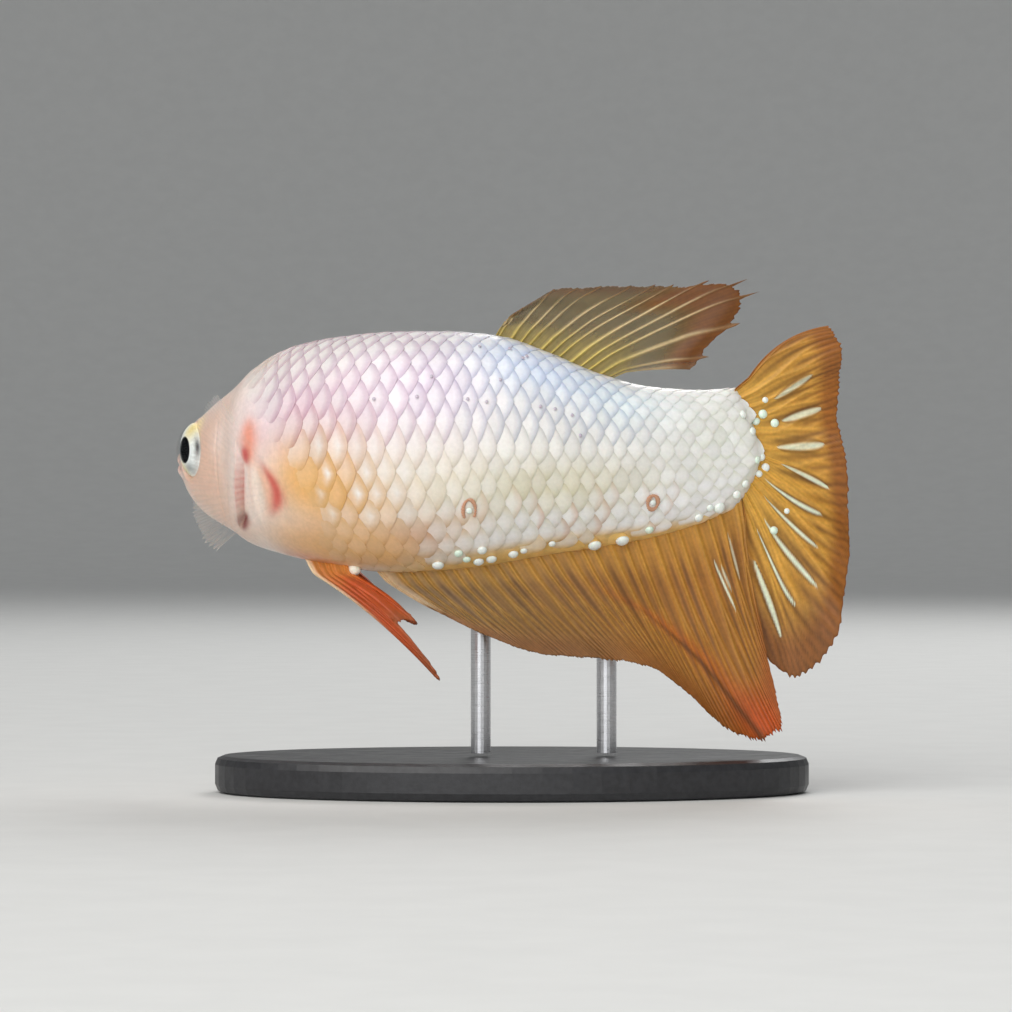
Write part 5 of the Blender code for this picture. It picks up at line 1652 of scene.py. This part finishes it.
class FISH_OT_fins(bpy.types.Operator):
    """Makes the back fin, the anal fin and the tail fin"""
    bl_idname = "fish.fins"
    bl_label = "Fins on the midline"

    def execute(self, context):
        warm = fin_finish("amber fin membrane", 0.45, 0.12)
        smoky = fin_finish("smoky fin membrane", 0.42, 0.12)
        web = fin_web(rays=12, columns=18, rows=60, forks=0, notch=(0.02, 0.04, 0.12, 0.08), ragged=0.05,
                      course=dorsal_course)
        dorsal = median_sheet(web, DORSAL_FRONT, DORSAL_REAR, 0.0, DORSAL_RAYS, dorsal_sway, DORSAL_CURL)
        add_fin("dorsal_fin_web", dorsal, dorsal_colours, smoky, "smoky_fin", ("dorsal_fin",))
        web = fin_web(rays=26, columns=16, rows=60, forks=2, notch=0.012, ragged=0.035)
        anal = median_sheet(web, ANAL_FRONT, ANAL_REAR, math.pi, ANAL_RAYS, anal_sway, ANAL_CURL)
        add_fin("anal_fin_web", anal, anal_colours, warm, "amber_fin", ("anal_fin",))
        add_fin("caudal_fin_web", caudal_sheet(), caudal_colours, warm, "amber_fin", ("caudal_fin",))
        return {"FINISHED"}


class FISH_OT_paired_fins(bpy.types.Operator):
    """Makes the long fins under the breast and the clear breast fins"""
    bl_idname = "fish.paired_fins"
    bl_label = "Paired fins"

    def execute(self, context):
        red = fin_finish("vermilion fin membrane", 0.45, 0.12)
        clear = fin_finish("clear fin membrane", 0.25, 0.5)
        for side, word in ((1, "left"), (-1, "right")):
            ventral, pectoral = f"ventral_fin_{word}", f"pectoral_fin_{word}"
            add_fin(f"{ventral}_web", ventral_sheet(side), ventral_colours, red, "red_fin", (ventral,))
            add_fin(f"{pectoral}_web", pectoral_sheet(side), pectoral_colours, clear, "clear_fin",
                    (pectoral,))
        return {"FINISHED"}


class FISH_OT_stand(bpy.types.Operator):
    """Gives the stand's base and rods their finish"""
    bl_idname = "fish.stand"
    bl_label = "Stand"

    def execute(self, context):
        dark, steel = base_finish(), rod_finish()
        finishes = {"stand_base": dark, "stand_rod_front": steel, "stand_rod_rear": steel}
        for node, finish in finishes.items():
            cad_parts[node].material_slots[0].material = finish
        return {"FINISHED"}


class FISH_OT_stage(bpy.types.Operator):
    """Sets up the pale floor, the soft lights and the photo's camera"""
    bl_idname = "fish.stage"
    bl_label = "Stage"

    def execute(self, context):
        make_backdrop()
        for light in LIGHTS:
            add_light(*light)
        world = bpy.data.worlds.new("studio")
        world.use_nodes = True
        background = world.node_tree.nodes["Background"]
        background.inputs["Color"].default_value = SKY_COLOUR
        background.inputs["Strength"].default_value = SKY_STRENGTH
        context.scene.world = world
        context.scene.view_settings.view_transform = "Standard"
        add_camera()
        return {"FINISHED"}


class FISH_PT_looks(bpy.types.Panel):
    """Lists the fish's pieces and their sizes and colours"""
    bl_idname = "FISH_PT_looks"
    bl_label = "Fighting Fish"
    bl_space_type = "VIEW_3D"
    bl_region_type = "UI"
    bl_category = "Fighting Fish"

    def draw(self, context):
        layout = self.layout
        for name in FishSizes.__annotations__:
            layout.prop(context.scene.fish_sizes, name)
        for operator in OPERATORS:
            layout.operator(operator.bl_idname)
        for name in FishColours.__annotations__:
            layout.prop(context.scene.fish_colours, name)


OPERATORS = (
    FISH_OT_skin, FISH_OT_scales, FISH_OT_eyes, FISH_OT_fins, FISH_OT_paired_fins, FISH_OT_stand,
    FISH_OT_stage,
)
CLASSES = (FishSizes, FishColours, *OPERATORS, FISH_PT_looks)


def register():
    """Adds the operators, the panel and the settings."""
    for made in CLASSES:
        bpy.utils.register_class(made)
    bpy.types.Scene.fish_sizes = bpy.props.PointerProperty(type=FishSizes)
    bpy.types.Scene.fish_colours = bpy.props.PointerProperty(type=FishColours)


def unregister():
    """Takes them away again."""
    del bpy.types.Scene.fish_colours
    del bpy.types.Scene.fish_sizes
    for made in reversed(CLASSES):
        bpy.utils.unregister_class(made)


def main():
    """Dresses the loaded part."""
    register()
    bpy.ops.fish.skin()
    bpy.ops.fish.scales()
    bpy.ops.fish.eyes()
    bpy.ops.fish.fins()
    bpy.ops.fish.paired_fins()
    bpy.ops.fish.stand()
    bpy.ops.fish.stage()


if __name__ == "__main__":
    main()
